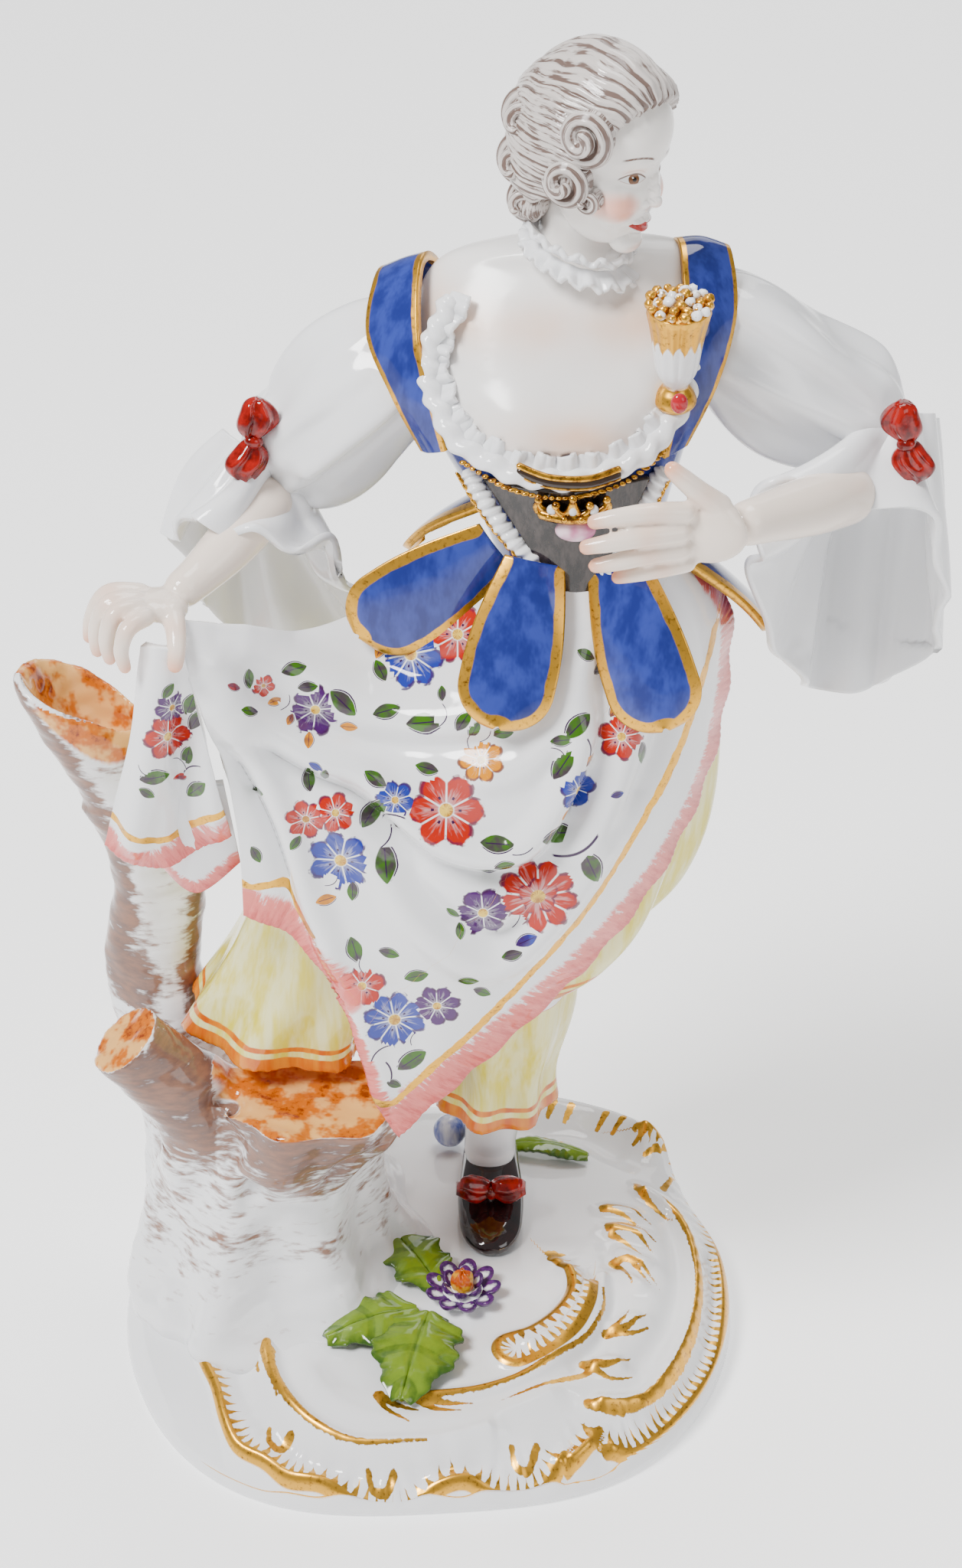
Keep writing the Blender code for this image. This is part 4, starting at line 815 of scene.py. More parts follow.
def makeBlossom():
    # two wheels of little cupped petals round a bud
    grids, edge = [], []
    centre = np.array([4.2, -8.6, 9.4])
    for count, reach, size, tilt, rise, turn in ((9, 3.1, 1.35, 0.35, 0.5, 0.0),
            (6, 1.9, 1.05, 0.85, 1.1, 0.4)):
        for k in range(count):
            a = 2 * math.pi * k / count + turn
            out = np.array([math.cos(a), math.sin(a), 0])
            across = np.array([-math.sin(a), math.cos(a), 0])
            way = out * math.cos(tilt) + np.array([0, 0, math.sin(tilt)])
            up = np.cross(way, across) * -1
            flat = ballGrid((0, 0, 0), (1.0, 0.78, 0.3), None, 14, 22)
            spread = np.hypot(flat[..., 0], flat[..., 1] / 0.78)
            flat[..., 2] += 0.36 * spread ** 2
            shape = np.stack([way, across, up if up[2] > 0 else -up], 0)
            grids.append(flat * size @ shape + centre + out * reach + np.array([0, 0, rise]))
            edge.append(spread.ravel())
    base = ballGrid(centre + np.array([0, 0, 0.2]), (2.9, 2.9, 0.8), None, 14, 30)
    item = closedGrid("blossom_petals", grids + [base])
    mark(item, "edge", np.concatenate(edge + [np.zeros(base.shape[0] * base.shape[1])]))
    glaze = Glaze("petal_glaze", 0.1)
    line = glaze.place.noise(1.6, 3.0, 0.6)
    purple = line.step(0.35, 0.65).mix((0.035, 0.006, 0.07), (0.10, 0.02, 0.15))
    glaze.set("Base Color", (glaze.read("edge") + (line - 0.5) * 0.9).step(0.22, 0.62).mix(glazeWhite,
            purple))
    wavyGlaze(glaze)
    finished(item, ["blossom_petals"], "violet_glaze", glaze.material)
    heart = ballGrid(centre + np.array([0.0, 0.0, 1.7]), (1.25, 1.25, 1.5), None, 30, 40)
    a = np.linspace(0, 2 * math.pi, 40, endpoint=False)[None, :, None]
    heart = (heart - centre) * (1 + 0.07 * np.cos(5 * a + 2 * np.linspace(0, 3, 30)[:, None, None])) + centre
    bud = closedGrid("blossom_heart", heart)
    glaze = Glaze("heart_glaze", 0.1)
    tone = glaze.place.noise(0.9, 2.0)
    glaze.set("Base Color", (tone + (glaze.place.part(2) - 11.2) * 0.12).step(0.40,
            0.62).mix((0.76, 0.40, 0.01), (0.46, 0.07, 0.0)))
    finished(bud, ["blossom_heart"], "yellow_glaze", glaze.material)


def makePlants():
    makeBlossom()
    makeLeaf("leaf_upper", (1.4, -7.6), (-4.4, 1.4), 3.5, 3)
    makeLeaf("leaf_left", (-0.8, -11.6), (-10.4, -15.8), 3.6, 3)
    makeLeaf("leaf_front", (0.6, -12.6), (-2.2, -24.6), 4.6, 3, 1.5)
    makeLeaf("leaf_rear", (9.5, 16.4), (18.4, 15.0), 1.6, 1)
    bud = ballGrid((2.6, 17.2, 11.0), (1.9, 1.7, 2.1), None, 30, 40)
    item = closedGrid("bud_rear", bud)
    glaze = Glaze("bud_glaze", 0.1)
    glaze.set("Base Color", softColour(glaze, (0.06, 0.10, 0.42), (0.70, 0.74, 0.84), 0.6, (1, 1, 0.3)))
    finished(item, ["bud_rear"], "blue_glaze", glaze.material)


# ---- foot

def bowGrids(centre, along, up, reach, height, thick, seed):
    # two pinched loops, a knot between them and two short tails, with gathered folds
    along = unit(np.array(along, float))
    up = np.array(up, float)
    up = unit(up - along * (along @ up))
    out = np.cross(along, up)
    shape = np.stack([along, up, out])
    centre = np.array(centre, float)
    grids = []
    for way in (-1, 1):
        x = np.linspace(0, 1, 30)
        half = height * (0.32 + 0.78 * np.sin(math.pi
                * np.clip(x * 0.72 + 0.1, 0, 1)) ** 1.2) * np.sqrt(np.clip(1 - ((x - 0.5) / 0.51) ** 6,
                        0.02, 1))
        a = np.linspace(0, 2 * math.pi, 44, endpoint=False)
        folds = 1 + 0.24 * np.cos(6 * a[None, :] + 3 * x[:, None] + seed)
        flat = np.stack([way * reach * x[:, None] + 0 * a[None, :], half[:, None] * np.cos(a)[None, :],
                         thick * (0.5 + 0.5 * np.sin(math.pi * x))[:, None] * folds * np.sin(a)[None, :]
                         + thick * 0.15], -1)
        flat[..., 1] += 0.12 * height * np.sin(7 * flat[..., 0] / reach + seed)
        grids.append(flat @ shape + centre)
        tail = tubeGrid([(way * 0.2 * reach, 0, 0.1, 0.30 * height),
                         (way * 0.5 * reach, -0.55 * height, 0.2, 0.42 * height),
                         (way * 0.75 * reach, -1.05 * height, 0.1, 0.36 * height)], 16, 20)
        tail[..., 2] *= 0.5
        grids.append(tail @ shape + centre)
    grids.append(ballGrid((0, 0, thick * 0.55), (0.17 * reach, 0.52 * height, 0.55 * thick), None, 16, 24)
                 @ shape + centre)
    return grids


def redMaterial(name):
    glaze = Glaze(name, 0.1)
    patch = glaze.place.noise(0.8, 3.0, 0.6)
    glaze.set("Base Color", patch.step(0.3, 0.68).mix((0.09, 0.001, 0.001), (0.34, 0.006, 0.002)))
    glaze.bump(glaze.place.noise(0.7, 2.0), 0.25, 0.3)
    return glaze.material


def makeFoot():
    rings = []
    for u, half, low, high in ((0.0, 0.12, 0.6, 1.5), (0.03, 0.26, 0.4, 2.0), (0.1, 0.40, 0.3, 2.7),
                               (0.2, 0.47, 0.22, 3.3),
                               (0.4, 0.5, 0.22, 4.3), (0.6, 0.45, 0.5, 5.2), (0.8, 0.40, 0.3, 5.8),
                               (0.95, 0.34, 0.25, 6.0),
                               (1.0, 0.17, 0.7, 5.0)):
        a = np.linspace(0, 2 * math.pi, 56, endpoint=False)
        flatter = np.where(np.sin(a) < 0, 0.72, 1.0)
        c, s = np.cos(a), np.sin(a)
        rings.append(np.stack([7.3 + half * 7.4 * np.sign(c) * np.abs(c) ** flatter,
                               np.full(56, -2.4 + u * 20.0),
                               8.8 + (low + high) / 2
                               + (high - low) / 2 * np.sign(s) * np.abs(s) ** flatter], -1))
    item = closedGrid("shoe", smoothLine(rings, 60))
    glaze = Glaze("shoe_glaze", 0.07, 0.8)
    glaze.set("Base Color", softColour(glaze, (0.022, 0.008, 0.008), (0.006, 0.004, 0.005), 0.5))
    wavyGlaze(glaze)
    finished(item, ["shoe"], "black_glaze", glaze.material)
    leg = tubeGrid([(7.2, 9.6, 11.4, 3.0), (7.2, 10.4, 14.0, 2.9), (7.3, 10.4, 16.2, 2.9),
                    (7.6, 9.6, 21.0, 3.3),
                    (7.8, 8.8, 26.0, 3.8)], 40, 48)
    item = closedGrid("stocking", leg)
    finished(item, ["stocking"], "white_glaze", plainMaterial("stocking_glaze"))
    item = closedGrid("shoe_bow", bowGrids((7.3, 3.3, 14.4), (1, 0, 0), (0, -0.5, 0.86), 3.9, 2.0, 1.3, 1.0))
    finished(item, ["shoe_bow"], "red_glaze", redMaterial("shoe_bow_glaze"))


# ---- petticoat

skirtColours = {"yellow": (0.71, 0.61, 0.055), "pale": (0.81, 0.77, 0.36), "band": (0.56, 0.085, 0.0),
                "band pale": (0.74, 0.24, 0.008)}


def makePetticoat():
    skirt = ovalLoft([
        (14.6, 1.0, 93.0, 9.0, 8.0, 0.0, 0.0, 0.00), (13.4, 2.4, 88.0, 13.0, 11.5, 0.0, 0.0, 0.03),
        (11.0, 4.0, 78.0, 18.4, 14.5, 0.0, 0.0, 0.045), (8.6, 4.8, 66.0, 20.6, 15.2, 0.0, 0.0, 0.05),
        (6.4, 4.8, 55.0, 20.2, 14.6, 0.12, 0.05, 0.06), (5.2, 4.6, 48.0, 17.5, 13.0, 0.25, 0.08, 0.07),
        (5.4, 4.6, 44.0, 13.0, 10.0, 0.3, 0.1, 0.07)], 80, 180, 9)
    lobe = ovalLoft([
        (-6.0, 2.0, 62.0, 9.0, 9.0, 0.0, 0.0, 0.0), (-10.5, 1.5, 50.0, 9.6, 9.4, 0.0, 0.0, 0.04),
        (-14.4, 1.6, 42.0, 10.0, 9.2, -0.05, 0.0, 0.07), (-14.9, 1.6, 39.3, 10.5, 9.2, -0.12, 0.0, 0.09)],
        60, 120)
    leg = ovalLoft([
        (8.4, 4.0, 52.0, 8.5, 9.0, 0.0, 0.0, 0.0), (8.6, 5.0, 40.0, 7.6, 8.2, 0.0, 0.0, 0.04),
        (8.2, 5.6, 31.0, 6.0, 6.8, 0.0, 0.0, 0.07), (7.8, 5.8, 25.7, 6.5, 7.2, 0.0, 0.0, 0.09)], 60, 90)
    item = melted(closedGrid("petticoat", [skirt, lobe, leg]), 0.42, 5)
    p = points(item)
    x, y, z = p.T
    onLobe = (x < -4.2) & (z < 54)
    onLeg = (np.hypot(x - 8, y - 5) < 9.9) & (z < 43.8)
    base = np.where(onLobe, 39.3 - 0.12 * (x + 14.9),
                    np.where(onLeg, 25.7, 44.4 + 0.3 * (x - 5.4) + 0.1 * (y - 4.6)))
    mark(item, "hem", np.clip(z - base, -1, 20))
    glaze = Glaze("petticoat_glaze", 0.1)
    hem = glaze.read("hem") + (glaze.place.noise(0.5, 2.0) - 0.5) * 0.5
    streak = glaze.place.scaled(1.0, 1.0, 0.12).noise(0.55, 3.0, 0.6)
    cloth = streak.step(0.36, 0.64).mix(skirtColours["pale"], skirtColours["yellow"])
    band = streak.step(0.3, 0.66).mix(skirtColours["band"], skirtColours["band pale"])
    line = hem.step(3.35, 3.2) * hem.step(2.55, 2.7)
    wide = hem.step(1.95, 1.8)
    under = hem.step(-0.4, -0.6)
    glaze.set("Base Color", under.mix(line.most(wide).mix(cloth, band), glazeWhite))
    wavyGlaze(glaze)
    finished(item, ["petticoat"], "yellow_glaze", glaze.material)

# ---- flowered apron

inks = {"blue": (0.018, 0.034, 0.30), "red": (0.44, 0.012, 0.001), "purple": (0.065, 0.01, 0.11),
        "yellow": (0.70, 0.25, 0.0),
        "green": (0.04, 0.13, 0.005), "line": (0.03, 0.006, 0.045)}

# painted sprigs of the apron: flower (place x z, radius, ink, petals, turn, double rose or not)
flowers = [
    (-0.5, 92.2, 3.5, "blue", 8, 0.2, 0), (4.2, 95.0, 3.0, "red", 6, 0.5, 0),
    (-9.6, 88.2, 2.6, "purple", 7, 0.1, 0),
    (-14.4, 91.2, 1.2, "red", 5, 0.4, 0), (-10.7, 77.4, 2.1, "red", 6, 0.3, 0),
    (-7.8, 78.6, 2.1, "red", 6, 0.8, 0),
    (-7.4, 72.8, 3.4, "blue", 7, 0.4, 0), (6.2, 84.6, 2.3, "yellow", 7, 0.1, 0),
    (3.0, 79.4, 3.9, "red", 6, 0.5, 0),
    (-1.8, 80.6, 2.0, "blue", 6, 0.3, 0), (15.6, 81.4, 2.2, "blue", 5, 0.9, 0),
    (19.4, 86.0, 2.4, "red", 6, 0.2, 0),
    (11.6, 69.4, 4.2, "red", 9, 0.2, 1), (6.4, 67.8, 2.8, "purple", 6, 0.6, 0),
    (-5.7, 57.6, 2.5, "red", 5, 0.9, 0),
    (-2.6, 53.0, 3.4, "blue", 8, 0.2, 0), (2.0, 55.4, 2.5, "purple", 7, 0.7, 0)]

# single buds and leaves: place, half length, ink, direction of the tip in degrees
sprigs = [
    (-13.4, 89.2, 0.8, "yellow", 200), (-12.0, 87.6, 0.7, "yellow", 250), (-10.2, 86.0, 0.9, "yellow", 270),
    (-6.6, 86.2, 0.9, "yellow", 0), (16.6, 84.4, 0.9, "yellow", 60), (-9.0, 68.2, 1.1, "yellow", 200),
    (-4.0, 93.6, 1.2, "yellow", 110), (-3.6, 92.0, 1.0, "yellow", 250), (-9.4, 83.8, 0.8, "blue", 330),
    (18.8, 88.4, 0.9, "yellow", 60), (19.0, 80.4, 0.7, "blue", 20), (14.2, 79.0, 0.8, "yellow", 230),
    (10.6, 64.0, 1.2, "blue", 30), (-15.6, 92.6, 1.0, "green", 100), (-15.6, 90.2, 0.9, "green", 180),
    (-7.0, 88.8, 1.7, "green", 320), (-3.4, 90.4, 1.2, "green", 120), (-2.6, 88.2, 1.4, "green", 200),
    (1.0, 87.8, 1.9, "green", 190), (4.4, 88.6, 1.2, "green", 60), (-10.4, 81.2, 1.2, "green", 100),
    (-8.8, 82.4, 0.8, "green", 80),
    (-4.4, 77.4, 1.7, "green", 60), (-2.0, 76.4, 0.9, "green", 330), (-2.8, 73.2, 2.1, "green", 280),
    (-11.8, 75.2, 0.9, "green", 240), (-6.4, 69.2, 1.1, "green", 270), (-15.8, 72.4, 1.0, "green", 300),
    (-15.2, 80.0, 0.9, "green", 0), (-4.0, 82.6, 1.3, "green", 150), (1.0, 83.2, 1.2, "green", 170),
    (5.6, 87.4, 1.0, "green", 70),
    (8.2, 87.2, 1.1, "green", 10), (7.6, 76.6, 1.7, "green", 180), (15.4, 88.4, 1.7, "green", 50),
    (13.6, 87.0, 1.1, "green", 190),
    (14.0, 84.4, 1.7, "green", 60), (23.0, 85.6, 1.1, "green", 10), (21.6, 83.6, 1.2, "green", 290),
    (16.2, 94.4, 1.0, "green", 160),
    (17.6, 92.2, 1.0, "green", 40), (8.6, 74.4, 1.1, "green", 20), (7.0, 72.6, 1.1, "green", 180),
    (13.4, 76.2, 2.0, "green", 10),
    (17.0, 72.6, 1.9, "green", 300), (3.4, 67.0, 0.8, "green", 150), (4.2, 65.0, 0.9, "green", 280),
    (-6.4, 62.0, 1.5, "green", 110),
    (-3.0, 62.0, 1.1, "green", 350), (-0.4, 59.2, 1.3, "green", 20), (5.0, 59.2, 1.1, "green", 10),
    (6.2, 57.0, 1.0, "green", 340),
    (-0.8, 47.6, 1.8, "green", 40), (-2.6, 44.8, 0.9, "green", 340), (9.2, 62.6, 1.1, "green", 200),
    (2.6, 90.0, 0.8, "green", 100),
    (-17.0, 93.0, 0.7, "red", 170), (-11.6, 92.4, 1.3, "green", 20), (-10.2, 90.6, 1.0, "green", 10)]

# tendrils: place, half length, direction in degrees, bend
tendrils = [(-2.4, 77.6, 1.9, 20, 0.5), (-3.0, 75.4, 1.5, 250, 0.4), (15.8, 86.0, 1.6, 280, 0.4),
            (15.4, 75.2, 2.6, 25, -0.35),
            (-3.6, 46.6, 1.8, 290, 0.4), (-4.0, 48.6, 1.5, 230, -0.4), (2.2, 88.6, 1.2, 260, 0.6),
            (5.2, 86.0, 0.9, 80, 0.4),
            (6.6, 86.6, 0.9, 50, -0.4), (-12.6, 89.0, 0.9, 240, 0.5), (13.4, 85.6, 1.0, 320, 0.4),
            (-8.4, 70.2, 0.9, 220, 0.5),
            (-5.4, 60.0, 0.9, 100, 0.4), (9.6, 66.0, 1.0, 250, 0.3), (-0.6, 50.2, 0.9, 80, 0.4),
            (10.0, 76.2, 1.1, 200, 0.3)]

flapFlowers = [(-22.6, 91.6, 1.9, "purple", 7, 0.2, 0), (-23.2, 88.0, 2.5, "red", 6, 0.6, 0)]
flapSprigs = [(-20.6, 89.2, 1.2, "green", 60), (-21.0, 91.0, 1.3, "green", 70),
              (-24.6, 83.6, 1.5, "green", 10), (-25.6, 81.8, 0.9, "green", 330),
              (-21.6, 84.6, 1.2, "green", 70), (-21.0, 80.8, 1.4, "green", 40),
              (-22.4, 81.8, 0.7, "red", 200), (-22.8, 93.8, 0.9, "green", 60)]
flapTendrils = [(-21.4, 82.6, 1.4, 30, 0.4), (-22.4, 83.2, 1.0, 300, 0.4), (-25.4, 84.6, 0.9, 140, 0.5)]

# folds of the apron seen from the front: line (x, z), height, half width
apronFolds = [
    ([(-22, 97.5), (-19.5, 94), (-16, 88.5), (-11, 84.5), (-5.5, 82.5), (-2.5, 80), (1, 77), (5.5, 75),
      (9.5, 75.5), (13, 79),
      (15, 84), (16.5, 89.5)], 0.95, 1.5),
    ([(-16, 86.6), (-10, 81.6), (-6, 79.6), (-2.5, 76.5), (1.5, 73), (6, 71.8), (11, 72.5), (14.5, 76.5),
      (17, 82)], -0.8, 1.3),
    ([(-21, 93), (-17.5, 87.5), (-15, 82.5), (-12.5, 76.5), (-11, 70), (-9, 64), (-7.5, 59.5)], 0.8, 1.3),
    ([(-17.6, 85.5), (-15.6, 80), (-13.6, 73), (-12.2, 66)], -1.0, 1.2),
    ([(-10.5, 80.2), (-6.5, 76), (-3.5, 72), (-0.5, 66.5), (4, 61.5), (8, 60.5), (11.5, 64), (15.5, 69.5),
      (19, 76.5)], 0.6, 1.6),
    ([(-5.5, 78.4), (-2, 74.5), (0.5, 70), (4, 66), (8, 64.5), (12, 67.5)], -0.6, 1.4),
    ([(15.5, 96), (14.5, 89.5), (11.5, 85), (8, 83), (4, 83)], 0.6, 1.5),
    ([(18, 95), (17.4, 86), (15.7, 80.5), (13, 76.5)], -0.6, 1.3),
    ([(20.6, 96), (20.4, 88), (18.6, 80), (14.6, 73)], 0.6, 1.5),
    ([(24.4, 92), (23.4, 84), (20, 76)], -0.5, 1.3),
    ([(-19.5, 96.4), (-14, 92.6), (-9.5, 89.8), (-4.5, 87.2), (2, 87), (8, 89), (12, 94)], 0.7, 1.8),
    ([(-15.5, 91.3), (-11, 87.6), (-4.5, 85), (2, 85.2), (9, 87)], -0.5, 1.3),
    ([(-9, 62), (-6, 55), (-4.6, 47), (-3.4, 41)], 0.4, 1.2), ([(-4, 60), (-1, 52), (0.4, 47)], -0.35, 1.6),
    ([(-14, 95.6), (-8, 92.8), (0, 91), (6, 94.4)], -0.45, 1.5)]

apronNet = [
    [(-21.8, -15.2, 98.9), (-12.6, -9.0, 94.2), (-3.6, -5.2, 95.0), (6.4, -6.6, 100.4), (15.0, -8.9, 101.0),
     (22.4, -6.6, 99.8), (27.4, 1.0, 96.0)],
    [(-22.5, -16.4, 98.0), (-13.0, -11.2, 92.7), (-4.0, -9.0, 91.5), (7.0, -11.4, 95.0), (18.0, -11.4, 95.0),
     (26.0, -6.8, 92.5), (30.6, 2.0, 89.0)],
    [(-19.4, -15.6, 88.0), (-12.5, -14.6, 85.0), (-4.0, -14.8, 82.0), (6.0, -16.8, 81.0), (15.0, -16.4, 79.0),
     (23.0, -11.6, 76.5), (28.4, -3.0, 73.5)],
    [(-17.4, -14.4, 76.0), (-13.0, -14.8, 74.0), (-6.5, -15.8, 71.0), (1.0, -17.2, 68.0), (8.0, -17.2, 65.0),
     (14.0, -15.0, 62.0), (19.0, -11.0, 59.5)],
    [(-17.2, -13.4, 64.5), (-13.0, -13.8, 62.5), (-9.5, -14.6, 58.5), (-7.0, -15.2, 53.0),
     (-5.5, -15.2, 47.0),
     (-4.3, -15.2, 41.5), (-2.5, -14.6, 37.0)]]

flapNet = [
    [(-25.0, -17.2, 98.0), (-23.6, -17.9, 98.2), (-21.4, -17.6, 97.8)],
    [(-26.4, -16.0, 88.0), (-23.8, -17.2, 88.0), (-20.2, -16.0, 88.4)],
    [(-28.8, -14.6, 79.0), (-25.4, -15.8, 78.0), (-19.2, -14.8, 79.8)],
    [(-30.4, -12.8, 72.6), (-25.4, -13.8, 70.4), (-18.4, -13.2, 74.2)]]

foldDepth = 1.8


def folded(p, folds):
    # each fold is a bell curve of the distance to its line in the front view, deepened by foldDepth
    n = gridNormals(p)
    n = n * np.where(n[..., 1:2] > 0, -1.0, 1.0)
    flat = p[..., [0, 2]].reshape(-1, 2)
    rise = np.zeros(len(flat))
    for line, height, width in folds:
        path = smoothLine(line, 8 * len(line))
        gap, along, _ = lineDistance(flat, path)
        fade = np.clip(np.minimum(along, lineLength(path) - along) / 4.0 + 0.25, 0, 1)
        rise += foldDepth * height * fade * np.exp(-(gap / width) ** 2)
    return p + n * rise.reshape(p.shape[:2] + (1,)), n


def edgeGap(p, line):
    gap, along, _ = lineDistance(p.reshape(-1, 3), line)
    return gap, along

# the direction, from in front and above, along which painted motifs are laid on
motifWay = np.array([0, -0.83, 0.56])


def paintSpots(item, flowerList, sprigList, tendrilList, wanted):
    # every face takes the nearest painted motif and holds its own coordinates in that motif
    mesh = item.data
    p, n = points(item), vertexNormals(item)
    corner = np.empty(len(mesh.loops), np.int32)
    mesh.loops.foreach_get("vertex_index", corner)
    start = np.empty(len(mesh.polygons), np.int32)
    mesh.polygons.foreach_get("loop_start", start)
    corners = np.minimum(start[:, None] + np.arange(4)[None, :], len(corner) - 1)
    middle = p[corner[corners]].mean(1)
    motifs = [(x, z, r, ink, turn, 1.0, petals, rose) for x, z, r, ink, petals, turn, rose in flowerList]
    motifs += [(x, z, r, ink, math.radians(a), 2.0, 0, 0) for x, z, r, ink, a in sprigList]
    motifs += [(x, z, r, "line", math.radians(a), 3.0, 0, bend) for x, z, r, a, bend in tendrilList]
    best = np.full(len(start), 1.4)
    spot, form, tone = (np.zeros((len(corner), 3)) for _ in range(3))
    front = wanted(p, n)
    for x, z, r, ink, turn, kind, petals, extra in motifs:
        k = np.argmin(np.hypot(p[:, 0] - x, p[:, 2] - z) + 99 * ~front)
        up = unit(0.3 * n[k] + motifWay)
        east = unit(np.array([1.0, 0, 0]) - up * up[0])
        north = np.cross(east, up) if up[1] > 0 else np.cross(up, east)
        north = north if north[2] > 0 else -north
        across = east * math.cos(turn) + north * math.sin(turn)
        rise = north * math.cos(turn) - east * math.sin(turn)
        offset = (middle - p[k]) / r
        reach = np.hypot(offset @ across, offset @ rise) + 9 * (np.linalg.norm(offset, axis=1) > 2.4)
        mine = (reach < 1.3) & (reach * (1.0 if kind < 1.5 else 0.8) < best) & front[corner[start]]
        best[mine] = reach[mine] * (1.0 if kind < 1.5 else 0.8)
        loops = corners[mine].ravel()
        away = (p[corner[loops]] - p[k]) / r
        spot[loops] = np.column_stack([away @ across, away @ rise, np.full(len(loops), kind)])
        form[loops] = (petals, extra, r)
        tone[loops] = inks[ink]
    for name, values in (("spot", spot), ("form", form), ("tone", tone)):
        mark(item, name, values, "CORNER")


def motifColour(glaze, ground):
    # flower: petals between an inner and a lobed outer circle; leaf: a lens with a midrib
    spot, form, tone = glaze.readVector("spot"), glaze.readVector("form"), glaze.readVector("tone")
    u, v, kind = spot.part(0), spot.part(1), spot.part(2)
    petals, extra, size = form.part(0), form.part(1), form.part(2)
    hand = glaze.place.noise(1.0, 2.0) - 0.5
    radius = (u * u + v * v).maths("SQRT")
    angle = v.maths("ARCTAN2", u)

    def wheel(reach, number, phase):
        share = abs((angle * number / 6.2832 + phase + 8.0).maths("FRACT") - 0.5) * 2.0
        rim = 0.94 - share * share * 0.26 + hand * 0.16
        gap = (1.0 - share) * reach * 3.14159 / number.most(1.0)
        fill = (reach - rim).step(0.03, -0.03) * gap.step(0.01, 0.035) * reach.step(0.17, 0.22)
        ink = (reach - rim + 0.06).step(-0.06, 0.0) * (reach - rim - 0.03).step(0.04, 0.0)
        return fill, ink, rim, share

    fill, ink, rim, share = wheel(radius, petals, 0.0)
    ray = joined(angle * 5.0, radius * 1.4, size * 3.0).noise(1.6, 2.0, 0.6)
    deep = ((radius / rim) * 0.9 + (ray - 0.5) * 1.6 + share * 0.25).step(0.15, 0.7)
    inner, innerInk, _, _ = wheel(radius * 2.0, petals * 0.6, 0.3)
    isRose = extra * kind.step(1.5, 1.4)
    wash = tone.node("ShaderNodeMix", {"data_type": "RGBA"},
                     {"Factor": 0.30, 6: tone, 7: (0.88, 0.88, 0.90, 1)}, 2)
    petal = deep.mix(wash, tone)
    isFlower = kind.step(0.4, 0.5) * kind.step(1.5, 1.4)
    colour = (fill * isFlower).mix(ground, petal)
    colour = (inner * isRose).mix(colour, petal)
    dark = tone.node("ShaderNodeMix", {"data_type": "RGBA"},
                     {"Factor": 0.8, 6: tone, 7: (0.05, 0.01, 0.05, 1)}, 2)
    broken = (hand + 0.5).step(0.44, 0.56)
    colour = (ink.most(innerInk * isRose) * isFlower * broken * 0.9).mix(colour, dark)
    dots = (radius - 0.34).maths("ABSOLUTE").step(0.05, 0.03) * share.step(0.22, 0.14)
    colour = (dots * isFlower * (1.0 - isRose)).mix(colour, inks["line"])
    eye = radius.step(0.19, 0.16) * isFlower
    colour = eye.mix(colour, (ray + hand).step(0.35, 0.6).mix((0.42, 0.17, 0.02), (0.86, 0.58, 0.08)))
    isLeaf = kind.step(1.5, 1.6) * kind.step(2.5, 2.4)
    lens = (1.0 - u * u).most(0.0) * 0.50 + hand * 0.10
    across = abs(v + u * 0.08)
    body = (across - lens).step(0.03, -0.03) * abs(u).step(0.98, 0.94)
    tint = (glaze.place.noise(0.7, 2.0) + u * 0.1).step(0.35, 0.62)
    leaf = tint.mix(dark, tone)
    colour = (body * isLeaf).mix(colour, leaf)
    rib = across.step(0.05, 0.02) * abs(u).step(0.75, 0.6)
    rim2 = (across - lens - 0.07).maths("ABSOLUTE").step(0.055, 0.025) * abs(u).step(0.97, 0.85) * (v * 3.0
            + hand * 4.0).step(-0.2, 0.4)
    colour = (rib.most(rim2) * isLeaf).mix(colour, inks["line"])
    isLine = kind.step(2.5, 2.6)
    arc = abs(v - (1.0 - u * u) * extra)
    thread = arc.step(0.075, 0.035) * abs(u).step(1.0, 0.9)
    return (thread * isLine).mix(colour, inks["line"])


def clothMaterial(name):
    # white glaze with painted sprigs, a thin gold line, and a pink fringe of short strokes
    glaze = Glaze(name, 0.08)
    hem = glaze.readVector("hem")
    gap, along, width = hem.part(0), hem.part(1), hem.part(2)
    line = glaze.read("goldline") + (glaze.place.noise(0.5, 1.0) - 0.5) * 0.3
    thick = glaze.place.noise(0.7, 2.0) * 0.5 + 0.18
    gold = (abs(line) - thick).step(0.03, -0.03)
    streak = joined(along * 1.6, gap * 0.28).noise(1.0, 4.0, 0.7)
    depth = gap / width.most(0.1)
    pink = (streak * 1.7 - depth * 0.78).step(0.02, 0.32) * depth.step(1.0, 0.8) * width.step(0.2, 0.3)
    rosy = (streak - depth * 0.3).step(0.3, 0.6).mix((0.76, 0.14, 0.11), (0.56, 0.03, 0.025))
    gilded(glaze, (pink * 0.95).mix(motifColour(glaze, porcelain(glaze)), rosy), gold)
    wavyGlaze(glaze)
    return glaze.material


def hemData(flat, edges):
    # edges: (line, width at its start and end); the nearest in shares of its width wins
    best, data = np.full(len(flat), 9.0), np.zeros((len(flat), 3))
    data[:, 0] = 9
    for line, first, last in edges:
        gap, along, _ = lineDistance(flat, line)
        width = first + (last - first) * along / lineLength(line)
        near = gap / width < best
        best = np.where(near, gap / width, best)
        data[near] = np.column_stack([gap, along, width])[near]
    return data


def goldMarks(item, p, lines, sheets):
    # signed distance to the nearest gold line in the front view
    flat = p[..., [0, 2]].reshape(-1, 2)
    best = np.full(len(flat), 9.0)
    signed = np.full(len(flat), 9.0)
    for line in lines:
        gap, _, sign = lineDistance(flat, smoothLine(line, 9 * len(line)))
        signed = np.where(gap < best, gap * sign, signed)
        best = np.minimum(best, gap)
    mark(item, "goldline", np.tile(signed, sheets))


